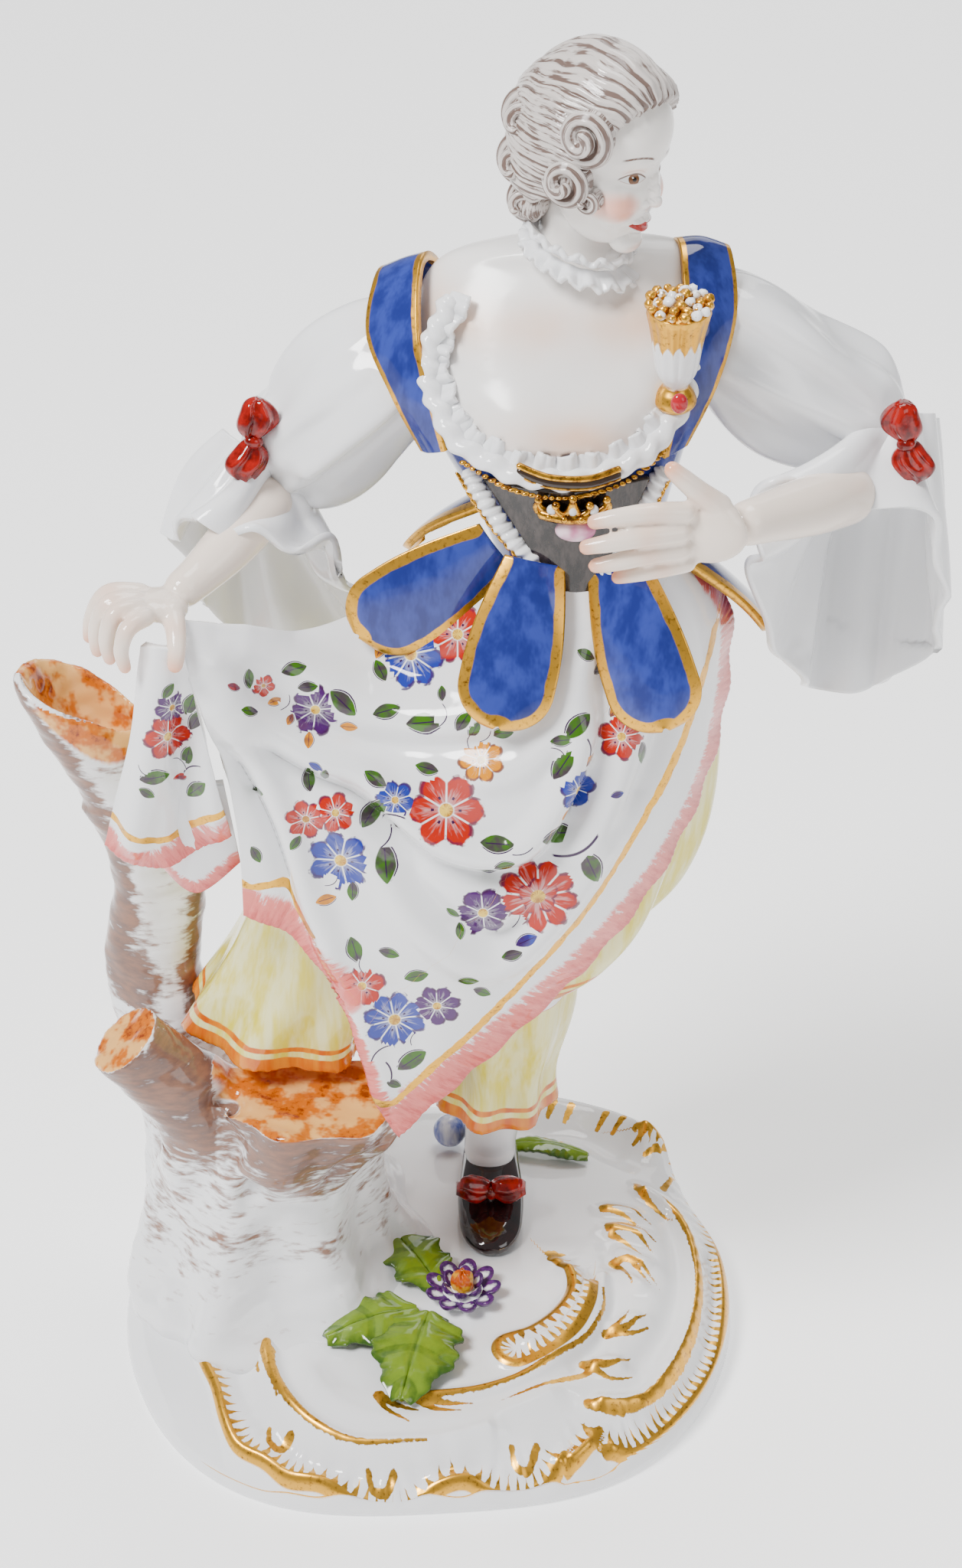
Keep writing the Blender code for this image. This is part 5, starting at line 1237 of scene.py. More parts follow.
def frontFaces(p, n):
    return (n[:, 1] < 0.05) | ((n[:, 2] > 0.35) & (n[:, 1] < 0.5))


def fringed(p, n, data):
    # the fringe is a row of fine ribs and its edge waves a little
    share = np.clip(1.1 - data[:, 0] / np.maximum(data[:, 2], 0.1), 0, 1)
    rib = 0.05 * np.cos(data[:, 1] * 2 * math.pi / 0.8) + 0.22 * np.sin(data[:, 1] * 2 * math.pi / 6.5)
    return p + n * (share * rib).reshape(p.shape[:2] + (1,))


def makeApron():
    p = netSurface(apronNet, 210, 150)
    p, n = folded(p, apronFolds)
    edges = [(p[:, -1], 4.2, 5.2), (p[-1, 56:], 0.9, 1.9), (p[-1, :62], 4.2, 3.2)]
    data = hemData(p.reshape(-1, 3), edges)
    p = fringed(p, n, data)
    item = sheetGrid("apron", p, 0.9)
    mark(item, "hem", np.tile(data, (2, 1)))
    goldMarks(item, p, [[(28.6, 91), (25.2, 81.5), (21.2, 74.5), (16, 66), (10.8, 58.6), (5.4, 51.5),
                         (1, 46.4), (-2, 43), (-3.4, 42.2),
                         (-5.2, 43.4)], [(-17.8, 69.2), (-16.4, 68.2), (-14, 68.6), (-12, 67),
                                         (-10.2, 63.6)]], 2)
    paintSpots(item, flowers, sprigs, tendrils, frontFaces)
    finished(item, ["apron"], "flowered_glaze", clothMaterial("apron_glaze"))
    q = netSurface(flapNet, 120, 60)
    q, n = folded(q, [([(-23.4, 97), (-24.6, 88), (-26.6, 78), (-27.6, 72)], 0.7, 1.2),
                      ([(-22, 92), (-22.4, 82), (-22.8, 72)], -0.9, 1.2),
                      ([(-20.2, 90), (-19.6, 80), (-19.4, 73)], 0.5, 1.0)])
    data = hemData(q.reshape(-1, 3), [(q[-1], 3.6, 3.6)])
    q = fringed(q, n, data)
    flap = sheetGrid("apron_flap", q, 0.9)
    mark(flap, "hem", np.tile(data, (2, 1)))
    goldMarks(flap, q, [[(-30, 77.6), (-28, 76.2), (-25.8, 75), (-23.6, 74.4), (-22, 75.4), (-20, 77.2),
                         (-18, 78)]], 2)
    paintSpots(flap, flapFlowers, flapSprigs, flapTendrils, frontFaces)
    finished(flap, ["apron_flap"], "flowered_glaze", clothMaterial("flap_glaze"))
    under = netSurface([[(-25.4, -13.0, 80.0), (-22.6, -14.0, 80.0), (-18.6, -13.4, 80.0)],
                        [(-25.8, -12.2, 72.0), (-22.4, -13.2, 71.0), (-17.8, -12.6, 73.0)],
                        [(-24.8, -11.4, 68.6), (-21.8, -12.2, 66.4), (-17.6, -11.8, 69.8)]], 50, 44)
    data = hemData(under.reshape(-1, 3), [(under[-1], 3.2, 3.2)])
    lining = sheetGrid("flap_lining", under, 0.9)
    mark(lining, "hem", np.tile(data * np.array([1.6, 1, 1]), (2, 1)))
    mark(lining, "goldline", np.full(len(lining.data.vertices), 9.0))
    finished(lining, [], "flowered_glaze", clothMaterial("lining_glaze"))


# ---- jacket: tabs, bodice and trimmings

jacket = {"tab length": 15.8, "tab width": 8.8, "tab wall": 0.85, "gold edge": 1.05,
          "blue": (0.011, 0.020, 0.16), "blue light": (0.030, 0.050, 0.29)}

tabs = {"tab_left_front": ((7.6, -8.0, 103.2), (-0.82, -0.04, -0.57), (-0.45, 0.12, 0.82)),
        "tab_middle_left": ((11.2, -10.0, 102.6), (-0.22, -0.44, -0.88), (-0.97, 0.1, 0.2)),
        "tab_middle_right": ((19.0, -9.7, 101.8), (0.3, -0.39, -0.88), (-0.95, 0.1, -0.3)),
        "tab_right": ((24.0, -1.0, 99.6), (0.62, 0.3, -0.72), (-0.35, 0.9, 0.1)),
        "tab_back_right": ((21.0, 6.0, 100.0), (0.38, 0.62, -0.69), (0.85, -0.5, 0.0)),
        "tab_back_middle": ((14.6, 8.0, 100.4), (-0.05, 0.72, -0.69), (1.0, 0.0, 0.0)),
        "tab_back_left": ((8.0, 5.2, 101.4), (-0.46, 0.60, -0.65), (0.6, 0.8, 0.0))}


def blueMaterial(name, edge):
    # cobalt blue brushed across, with a band of gold laid along the border
    glaze = Glaze(name, 0.08)
    streak = glaze.place.scaled(1.0, 1.0, 0.4).noise(0.5, 3.0, 0.6)
    blue = streak.step(0.36, 0.66).mix(jacket["blue"], jacket["blue light"])
    border = glaze.read("border") + (glaze.place.noise(0.5, 2.0) - 0.5) * 0.35
    gilded(glaze, blue, (border - edge).step(0.06, -0.06))
    wavyGlaze(glaze)
    return glaze.material


def makeTabs():
    for name, (waist, way, across) in tabs.items():
        way, across = unit(np.array(way)), np.array(across)
        across = unit(across - way * (way @ across))
        out = np.cross(way, across)
        out = out * (1 if out @ (np.array(waist) - np.array([15, 0, 101])) > 0 else -1)
        s = np.linspace(0, 1, 80)
        u = 1 - (1 - s) ** 1.5
        spread = 0.60 + 0.40 * np.sin(math.pi / 2 * np.minimum(u * 1.5, 1.0))
        end = np.clip((u - 0.74) / 0.262, 0, 1)
        spread = spread * np.sqrt(np.clip(1 - end ** 2.4, 0, 1)) + 0.015
        v = np.linspace(-1, 1, 41)
        half = jacket["tab width"] / 2 * spread
        bow = 0.65 * (1 - v[None, :] ** 2) + 0.5 * np.sin(math.pi * u)[:, None] + 0.25 * np.sin(5 * u
                + 2)[:, None] * v[None, :]
        p = (np.array(waist) + way * (u * jacket["tab length"])[:, None, None]
             + across * (half[:, None] * v[None, :])[..., None]
             + out * bow[..., None])
        outline = np.concatenate([p[2:, 0], p[-1], p[2:, -1][::-1]])
        gap, _ = edgeGap(p, outline)
        item = sheetGrid(name, p, jacket["tab wall"])
        mark(item, "border", np.tile(gap, 2))
        finished(item, [name], "blue_glaze", blueMaterial(name + "_glaze", jacket["gold edge"]))


def makeBodice():
    body = ovalLoft([
        (15.4, 0.0, 94.4, 8.2, 7.2, 0.0, 0.0, 0.0), (15.2, -0.4, 99.0, 7.8, 7.2, 0.0, 0.0, 0.0),
        (14.7, -0.8, 105.0, 9.4, 8.4, 0.0, 0.0, 0.0), (14.0, -1.2, 110.5, 11.4, 9.6, 0.0, 0.0, 0.0),
        (13.4, -1.0, 114.8, 12.8, 9.8, 0.0, 0.0, 0.0)], 60, 100)
    item = closedGrid("bodice", body)
    p = points(item)
    # seams of gold run down the blue stays between the tabs
    angle = np.arctan2(p[:, 1] + 0.8, p[:, 0] - 14.6)
    mark(item, "border", 0.35 + 4.0 * np.abs(np.sin(2.5 * (angle + math.pi / 2 - 0.63))))
    finished(item, ["bodice"], "blue_glaze", blueMaterial("bodice_glaze", 0.45))

    # chest and shoulders of flesh-tinted glaze
    body = ovalLoft([
        (13.4, -0.9, 114.6, 12.6, 9.6, 0.0, 0.0, 0.0), (13.2, -0.6, 117.4, 13.2, 9.4, 0.0, 0.0, 0.0),
        (13.4, 0.4, 120.2, 13.6, 8.6, 0.0, 0.0, 0.0), (13.8, 1.6, 123.4, 13.6, 7.6, 0.02, 0.0, 0.0),
        (14.2, 2.6, 126.2, 13.2, 6.2, 0.04, -0.05, 0.0), (14.4, 2.8, 128.2, 11.4, 4.6, 0.04, -0.08, 0.0),
        (14.4, 2.0, 129.4, 7.4, 3.8, 0.02, -0.1, 0.0), (14.6, 1.4, 130.0, 4.0, 3.2, 0.0, -0.1, 0.0)], 110,
        130)
    item = closedGrid("chest", body)
    p, n = points(item), vertexNormals(item)
    for x, z in ((9.6, 115.6), (17.6, 115.8)):
        away = np.hypot((p[:, 0] - x) / 3.9, (p[:, 2] - z) / 3.4)
        p = p + n * (0.9 * np.exp(-away ** 2) * (n[:, 1] < 0.2))[:, None]
    setPoints(item, p)
    glow = np.exp(-((p[:, 0] - 13.6) / 5.5) ** 2
                  - ((p[:, 2] - 115.2) / 2.6) ** 2) + 0.6 * np.exp(-((p[:, 2] - 124) / 2.2) ** 2)
    mark(item, "blush", np.clip(glow, 0, 1))
    glaze = Glaze("chest_glaze", 0.2, 0.03)
    soft = glaze.place.noise(0.16, 2.0)
    glaze.set("Base Color", (glaze.read("blush") * soft * 1.5).mix((0.87, 0.85, 0.83), (0.85, 0.52, 0.34)))
    wavyGlaze(glaze)
    finished(item, ["chest"], "flesh_glaze", glaze.material)


def frill(name, path, width, wall, waves, depth, lean):
    # a gathered band of lace along a path; its free edge leans toward a point and waves in and out
    line = smoothLine(path, 34 * len(path))
    s = np.concatenate([[0], np.cumsum(np.linalg.norm(np.diff(line, axis=0), axis=1))])
    t = unit(np.gradient(line, axis=0))
    up = np.array(lean, float) - line
    up = unit(up - t * np.sum(t * up, -1)[:, None])
    out = np.cross(t, up)
    v = np.linspace(0, 1, 9)[None, :]
    swing = depth * np.sin(2 * math.pi * s / waves)[:, None] * v
    swing = swing + 0.4 * depth * np.sin(2 * math.pi * s / (waves * 0.43) + 1)[:, None] * v
    reach = width * v * (1 + 0.10 * np.sin(2 * math.pi * s / (waves * 1.7))[:, None])
    p = line[:, None] + up[:, None] * reach[..., None] + out[:, None] * swing[..., None]
    return sheetGrid(name, p, wall)


def makeLace():
    neck = [(3.6, -2.4, 126.2), (2.4, -3.8, 124.0), (1.4, -5.0, 121.0), (2.0, -7.0, 117.8),
            (4.4, -9.4, 114.6), (9.0, -11.4, 112.8), (14.0, -11.9, 112.2), (19.4, -10.8, 113.2),
            (23.0, -8.6, 115.4), (25.2, -5.8, 118.8), (25.2, -4.6, 122.0), (24.4, -3.4, 124.6),
            (23.2, -2.4, 126.4)]
    roll = smoothLine(neck, 160)
    grid = tubeGrid(np.column_stack([roll[::6], np.full(len(roll[::6]), 1.0)]), 220, 20,
                    waves=lambda u, a: 0.16 * np.sin(u * 150 + 2 * np.cos(a)) + 0.10 * np.sin(u * 61 + a))
    lace = closedGrid("neckline_lace", grid)
    finished(lace, ["neckline_lace"], "white_glaze", plainMaterial("lace_glaze"))
    top = [(x, y + 0.2, z + 0.3) for x, y, z in neck]
    item = frill("neckline_frill", top, 2.0, 0.42, 2.5, 0.55, (13.5, -8.5, 123.5))
    finished(item, [], "white_glaze", plainMaterial("frill_glaze"))
    # a gold thread of dots under the lace, and the dark opening in the middle with its gold lip
    band = [(x, y - 0.55, z - 1.5) for x, y, z in neck[4:9]]
    dots = smoothLine(band, 400)
    knots = [ballGrid(dots[k], (0.42 + 0.12 * math.sin(k), 0.3, 0.22), None, 7, 10)
             for k in range(6, 394, 12)]
    item = closedGrid("gold_dots", knots)
    finished(item, [], "gilding", goldMaterial("dots_gold"))
    lip = [(9.4, -12.0, 113.9), (12.4, -12.75, 113.0), (16.0, -12.8, 112.9), (19.0, -12.1, 113.6)]
    grid = tubeGrid([(*q, 0.34) for q in lip], 60, 12)
    low = tubeGrid([(q[0], q[1] - 0.1, q[2] - 0.95, 0.2) for q in lip[0:4]], 60, 10)
    item = closedGrid("gold_lip", [grid, low])
    finished(item, [], "gilding", goldMaterial("lip_gold"))
    slit = tubeGrid([(q[0], q[1] - 0.02, q[2] - 0.5, 0.42) for q in lip], 50, 12)
    item = closedGrid("dark_slit", slit)
    finished(item, [], "black_glaze", plainMaterial("slit_glaze", (0.03, 0.018, 0.012)))

    for name, path in (("bodice_lace_left", [(4.8, -8.2, 111.4), (6.6, -9.2, 108.4), (9.4, -9.6, 104.4),
            (13.2, -9.8, 100.6)]),
                       ("bodice_lace_right", [(23.2, -8.2, 111.6), (21.6, -9.2, 108.4), (19.8, -9.8, 104.4),
                               (17.4, -9.8, 101.0)])):
        left = name.endswith("left")
        grid = tubeGrid([(*q, 0.9) for q in path], 150, 18,
                        waves=lambda u, a: 0.15 * np.sin(u * 96 + 2 * np.cos(a)) + 0.08 * np.sin(u * 41 + a))
        item = closedGrid(name, grid)
        finished(item, [name], "white_glaze", plainMaterial(name + "_glaze"))
        shift = -0.75 if left else 0.75
        marks = smoothLine([(x + shift, y - 0.62, z - 0.2) for x, y, z in path], 240)
        way = unit(marks[-1] - marks[0])
        turn = np.stack([way, unit(np.cross(way, [0, 1.0, 0])), np.array([0, 1.0, 0])], 1)
        dashes = [ballGrid(marks[k], (0.5, 0.2, 0.18), turn, 7, 10) for k in range(8, 232, 15)]
        item = closedGrid(name + "_dashes", dashes)
        finished(item, [], "gilding", goldMaterial(name + "_gold"))


def makeStomacher():
    p = netSurface([[(6.6, -9.0, 111.0), (13.8, -12.1, 111.4), (21.6, -9.6, 111.4)],
                    [(10.4, -9.8, 104.8), (14.4, -10.7, 104.8), (19.0, -9.8, 104.8)],
                    [(14.0, -9.5, 98.0), (15.3, -9.6, 97.8), (16.6, -9.5, 98.0)]], 60, 40)
    item = sheetGrid("stomacher", p, 0.9)
    glaze = Glaze("stomacher_glaze", 0.1)
    streak = glaze.place.scaled(1.0, 1.0, 0.3).noise(1.1, 3.0, 0.65)
    glaze.set("Base Color", streak.step(0.35, 0.7).mix((0.010, 0.007, 0.006), (0.050, 0.038, 0.034)))
    wavyGlaze(glaze)
    finished(item, ["stomacher"], "black_glaze", glaze.material)

    # crown brooch: a band with three tall points, balls on the tips and small stones between
    grids = []
    def bent(x, z, lift):
        return np.array([14.6 + x, -12.9 + 0.085 * x * x - lift, 108.6 + 0.72 * z])
    grids.append(tubeGrid([(*bent(x, 0.2 + 0.03 * x * x, 0), 0.55) for x in (-3.2, -1.6, 0, 1.6, 3.2)], 50,
                          12))
    for x, z in ((-3.1, 2.3), (-1.55, 1.9), (0, 3.0), (1.55, 1.9), (3.1, 2.3)):
        base = 0.75 * x
        for way in (-0.75, 0.75):
            grids.append(tubeGrid([(*bent(base + way, 0.4, 0), 0.36),
                                   (*bent(x + way * 0.35, z * 0.6, 0.1), 0.3), (*bent(x, z, 0.1), 0.26)],
                                   16, 8))
        grids.append(ballGrid(bent(x, z + 0.15, 0.15), (0.42, 0.4, 0.42), None, 8, 12))
    for x in (-2.2, -0.8, 0.8, 2.2):
        grids.append(ballGrid(bent(x, 0.45, 0.55), (0.34, 0.3, 0.34), None, 8, 12))
    item = closedGrid("brooch", grids)
    finished(item, ["brooch"], "gilding", goldMaterial("brooch_gold"))
    stones = [ballGrid(bent(x, z, 0.1), (0.5, 0.4, 0.55), None, 8, 12) for x,
              z in ((-1.9, 1.35), (0, 1.5), (1.9, 1.35))]
    item = closedGrid("brooch_beads", stones)
    finished(item, [], "white_glaze", plainMaterial("beads_glaze", (0.72, 0.73, 0.76)))
    stone = closedGrid("brooch_stone", [ballGrid((14.9, -12.2, 107.2), (1.9, 0.9, 1.15), None, 20, 30)])
    glaze = Glaze("stone_glaze", 0.06)
    glaze.set("Base Color", glaze.place.noise(0.5, 2.0).step(0.35, 0.65).mix((0.55, 0.16, 0.30),
            (0.83, 0.60, 0.68)))
    finished(stone, ["brooch_stone"], "rose_glaze", glaze.material)


def makeStraps():
    nets = {"strap_left": [[(4.4, 9.0, 114.4), (5.8, 9.4, 114.2), (7.2, 9.6, 114.0)],
                           [(0.6, 8.2, 119.6), (2.6, 8.8, 119.6), (4.6, 9.2, 119.4)],
                           [(-2.0, 6.0, 124.4), (0.2, 6.0, 125.0), (2.4, 6.0, 125.6)],
                           [(-3.2, 2.2, 125.2), (-1.0, 1.6, 126.6), (1.0, 0.8, 127.4)],
                           [(-3.8, -1.0, 121.4), (-1.6, -3.0, 122.2), (0.9, -4.4, 122.6)],
                           [(-1.6, -4.8, 117.4), (0.0, -5.8, 117.6), (2.2, -6.8, 117.8)],
                           [(1.2, -5.8, 112.4), (2.0, -7.0, 112.8), (3.4, -7.9, 113.4)]],
            "strap_right": [[(20.2, 9.6, 114.2), (21.6, 9.4, 114.2), (23.0, 9.0, 114.4)],
                            [(22.4, 9.0, 120.4), (24.4, 8.6, 120.6), (26.4, 8.0, 120.4)],
                            [(23.4, 5.8, 126.6), (25.6, 6.0, 126.4), (27.8, 6.2, 125.6)],
                            [(24.2, 1.0, 129.0), (26.4, 1.8, 129.0), (28.8, 2.4, 128.0)],
                            [(24.4, -4.2, 124.2), (26.8, -3.2, 124.4), (29.2, -1.0, 123.8)],
                            [(23.6, -6.6, 118.4), (25.8, -5.6, 118.6), (27.6, -4.2, 118.6)],
                            [(22.6, -7.8, 112.6), (23.6, -7.0, 112.8), (24.8, -5.8, 113.0)]]}
    for name, net in nets.items():
        p = netSurface(net, 150, 34)
        p = p + unit(p[:, 17:18] - np.array([14.0, 3.0, 116.0])) * 0.35
        gap, _ = edgeGap(p, p[:, 0])
        other, _ = edgeGap(p, p[:, -1])
        item = sheetGrid(name, p, 0.9)
        mark(item, "border", np.tile(np.minimum(gap, other), 2))
        finished(item, [name], "blue_glaze", blueMaterial(name + "_glaze", 0.5))


def makeOrnament():
    # fluted holder: flutes round a cone that widens upward, over a knobbed foot
    tip, lean = np.array([24.0, -7.9, 127.6]), 0.1
    rows = []
    profile = smoothLine([(0.0, -11.0), (1.2, -10.7), (1.95, -9.9), (1.7, -8.9), (1.15, -8.1), (1.45, -7.4),
                          (1.85, -6.4), (2.15, -4.2),
                          (2.5, -2.0), (2.85, -0.3), (2.7, 0.1), (1.2, 0.3), (0.05, 0.3)], 110)
    a = np.linspace(0, 2 * math.pi, 120, endpoint=False)
    for r, z in profile:
        flute = 0.055 * np.abs(np.cos(7 * a)) * np.clip((z + 7.6) / 1.5, 0, 1) * np.clip(-z * 2, 0, 1)
        rr = max(r, 0.02) * (1 + flute)
        rows.append(np.stack([rr * np.cos(a), rr * np.sin(a), np.full(120, z)], -1))
    spin = np.array(Matrix.Rotation(lean, 3, "X"))
    item = closedGrid("corsage_cup", np.array(rows) @ spin.T + tip)
    p = (points(item) - tip) @ spin
    mark(item, "rise", p[:, 2])
    mark(item, "flute", np.arctan2(p[:, 1], p[:, 0]))
    glaze = Glaze("cup_glaze", 0.12)
    rise = glaze.read("rise") + (glaze.place.noise(0.7, 2.0) - 0.5) * 1.4
    ridge = abs((glaze.read("flute") * 7.0).sine())
    gold = (rise.step(-4.6, -2.4) * 1.4 - ridge * 0.75).step(0.2,
            0.55).most(rise.step(-1.6, -1.1)).most(rise.step(-7.6, -8.2))
    gilded(glaze, porcelain(glaze), gold)
    finished(item, ["corsage_cup"], "gilding", glaze.material)
    # crumbled posy on top: little balls set in rings
    grids, tint = [], []
    for ring, count in ((2.75, 15), (1.9, 10), (1.0, 5), (0.0, 1)):
        for k in range(count):
            t = 2 * math.pi * k / count + ring
            size = 0.42 + 0.16 * rng.random()
            spot = np.array([ring * math.cos(t), ring * math.sin(t), 0.35 + 0.5 * (1 - ring / 3)
                             + 0.25 * rng.random()])
            ball = ballGrid((0, 0, 0), (size, size, size * 0.9), None, 8, 12)
            ball = ball * (1 + 0.18 * ripple(ball * 3, 1.6, k)[..., None])
            grids.append((ball + spot) @ spin.T + tip)
            tint.append(np.full(ball.shape[0] * 12, rng.random()))
    item = closedGrid("posy", grids)
    mark(item, "tint", np.concatenate(tint))
    glaze = Glaze("posy_glaze", 0.15)
    gilded(glaze, glazeWhite, (glaze.read("tint") + glaze.place.noise(1.4, 2.0) - 0.5).step(0.30, 0.42))
    finished(item, [], "gilding", glaze.material)
    gem = closedGrid("ornament_ruby", ballGrid((24.2, -9.6, 118.9), (0.8, 0.6, 1.0), None, 14, 20))
    glaze = Glaze("ruby_glaze", 0.05)
    glaze.set("Base Color", (0.42, 0.01, 0.02))
    finished(gem, [], "red_glaze", glaze.material)


def makeDress():
    makeApron()
    makeTabs()
    makeBodice()
    makeLace()
    makeStomacher()
    makeStraps()
    makeOrnament()

# ---- arms: sleeves, cuffs, bows and hands

arms = {"hand voxel": 0.24, "cuff wall": 0.8, "fold": 1.05, "deepen": 1.7}


def sleeve(name, knots, folds, seed):
    # a full sleeve: soft folds twist round it and gather tighter at the elbow
    def waves(u, a):
        pull = 0.35 + 0.65 * u ** 2
        return 1.3 * (0.055 * np.sin(4 * a + 5 * u + seed) + 0.045 * np.sin(7 * a - 6 * u + 2 * seed) * pull
                + 0.035 * np.sin(11 * a + 9 * u) * pull ** 2 + 0.03 * np.sin(14 * u + a + seed))
    p = tubeGrid(knots, 120, 150, waves=waves)
    n = gridNormals(p, True)
    outward = np.sign(np.sum(n * (p - p.mean(1, keepdims=True)), -1).mean())
    flat = p.reshape(-1, 3)
    rise = np.zeros(len(flat))
    for line, height, width in folds:
        gap, _, _ = lineDistance(flat, smoothLine(line, 30))
        rise += arms["deepen"] * height * np.exp(-(gap / width) ** 2)
    p = p + n * outward * rise.reshape(p.shape[:2] + (1,))
    item = closedGrid(name, p)
    return finished(item, [name], "white_glaze", plainMaterial(name + "_glaze"))


def cuff(name, rings, folds, seed):
    # a wide flared cuff: closed curves from the elbow to the hem, waving more toward the hem
    loops = np.array([smoothLine(ring, 180, True) for ring in rings])
    p = smoothLine(loops, 64)
    n = gridNormals(p, True)
    a = np.linspace(0, 2 * math.pi, 180, endpoint=False)[None, :]
    v = np.linspace(0, 1, 64)[:, None]
    swing = arms["fold"] * (0.7 * np.sin(5 * a + seed) + 0.7 * np.sin(9 * a + 2 * seed + 1.5 * v)) * (0.5
            + 0.6 * v)
    p = p + n * swing[..., None]
    p[..., 2] += 0.9 * v ** 3 * np.sin(6 * a + seed) * (p[..., 2] > 86)
    flat = p.reshape(-1, 3)
    rise = np.zeros(len(flat))
    for line, height, width in folds:
        gap, _, _ = lineDistance(flat, smoothLine(line, 30))
        rise += arms["deepen"] * height * np.exp(-(gap / width) ** 2)
    middle = p.mean(1, keepdims=True)
    out = unit(p - middle)
    p = p + out * rise.reshape(p.shape[:2] + (1,))
    item = sheetGrid(name, p, arms["cuff wall"], wrap=True)
    return finished(item, [name], "white_glaze", plainMaterial(name + "_glaze"))


def fleshMaterial(name):
    glaze = Glaze(name, 0.08)
    soft = glaze.place.noise(0.3, 2.0)
    glaze.set("Base Color", (glaze.read("blush") * (soft * 0.8 + 0.6)).mix((0.86, 0.74, 0.64),
            (0.82, 0.30, 0.13)))
    wavyGlaze(glaze)
    return glaze.material


def makeHand(name, arm, palm, fingers, slotName="flesh_glaze"):
    grids = [tubeGrid(arm, 40, 36)]
    for centre, radii, spin in palm:
        turn = np.array(Matrix.Rotation(spin[0], 3, "Z") @ Matrix.Rotation(spin[1], 3, "Y")
                        @ Matrix.Rotation(spin[2], 3, "X"))
        grids.append(ballGrid(centre, radii, turn, 26, 34))
    tips, joints = [], []
    for finger in fingers:
        grids.append(tubeGrid(finger, 34, 18))
        tips.append(finger[-1][:3])
        joints.append(finger[1][:3])
    item = melted(closedGrid(name, grids), arms["hand voxel"], 3)
    p = points(item)
    glow = np.zeros(len(p))
    for spots, reach, share in ((tips, 1.5, 0.9), (joints, 1.2, 0.35)):
        for spot in spots:
            glow = np.maximum(glow, share * np.exp(-(np.linalg.norm(p - np.array(spot), axis=1)
                    / reach) ** 2))
    mark(item, "blush", glow)
    finished(item, [name], slotName, fleshMaterial(name + "_glaze"))


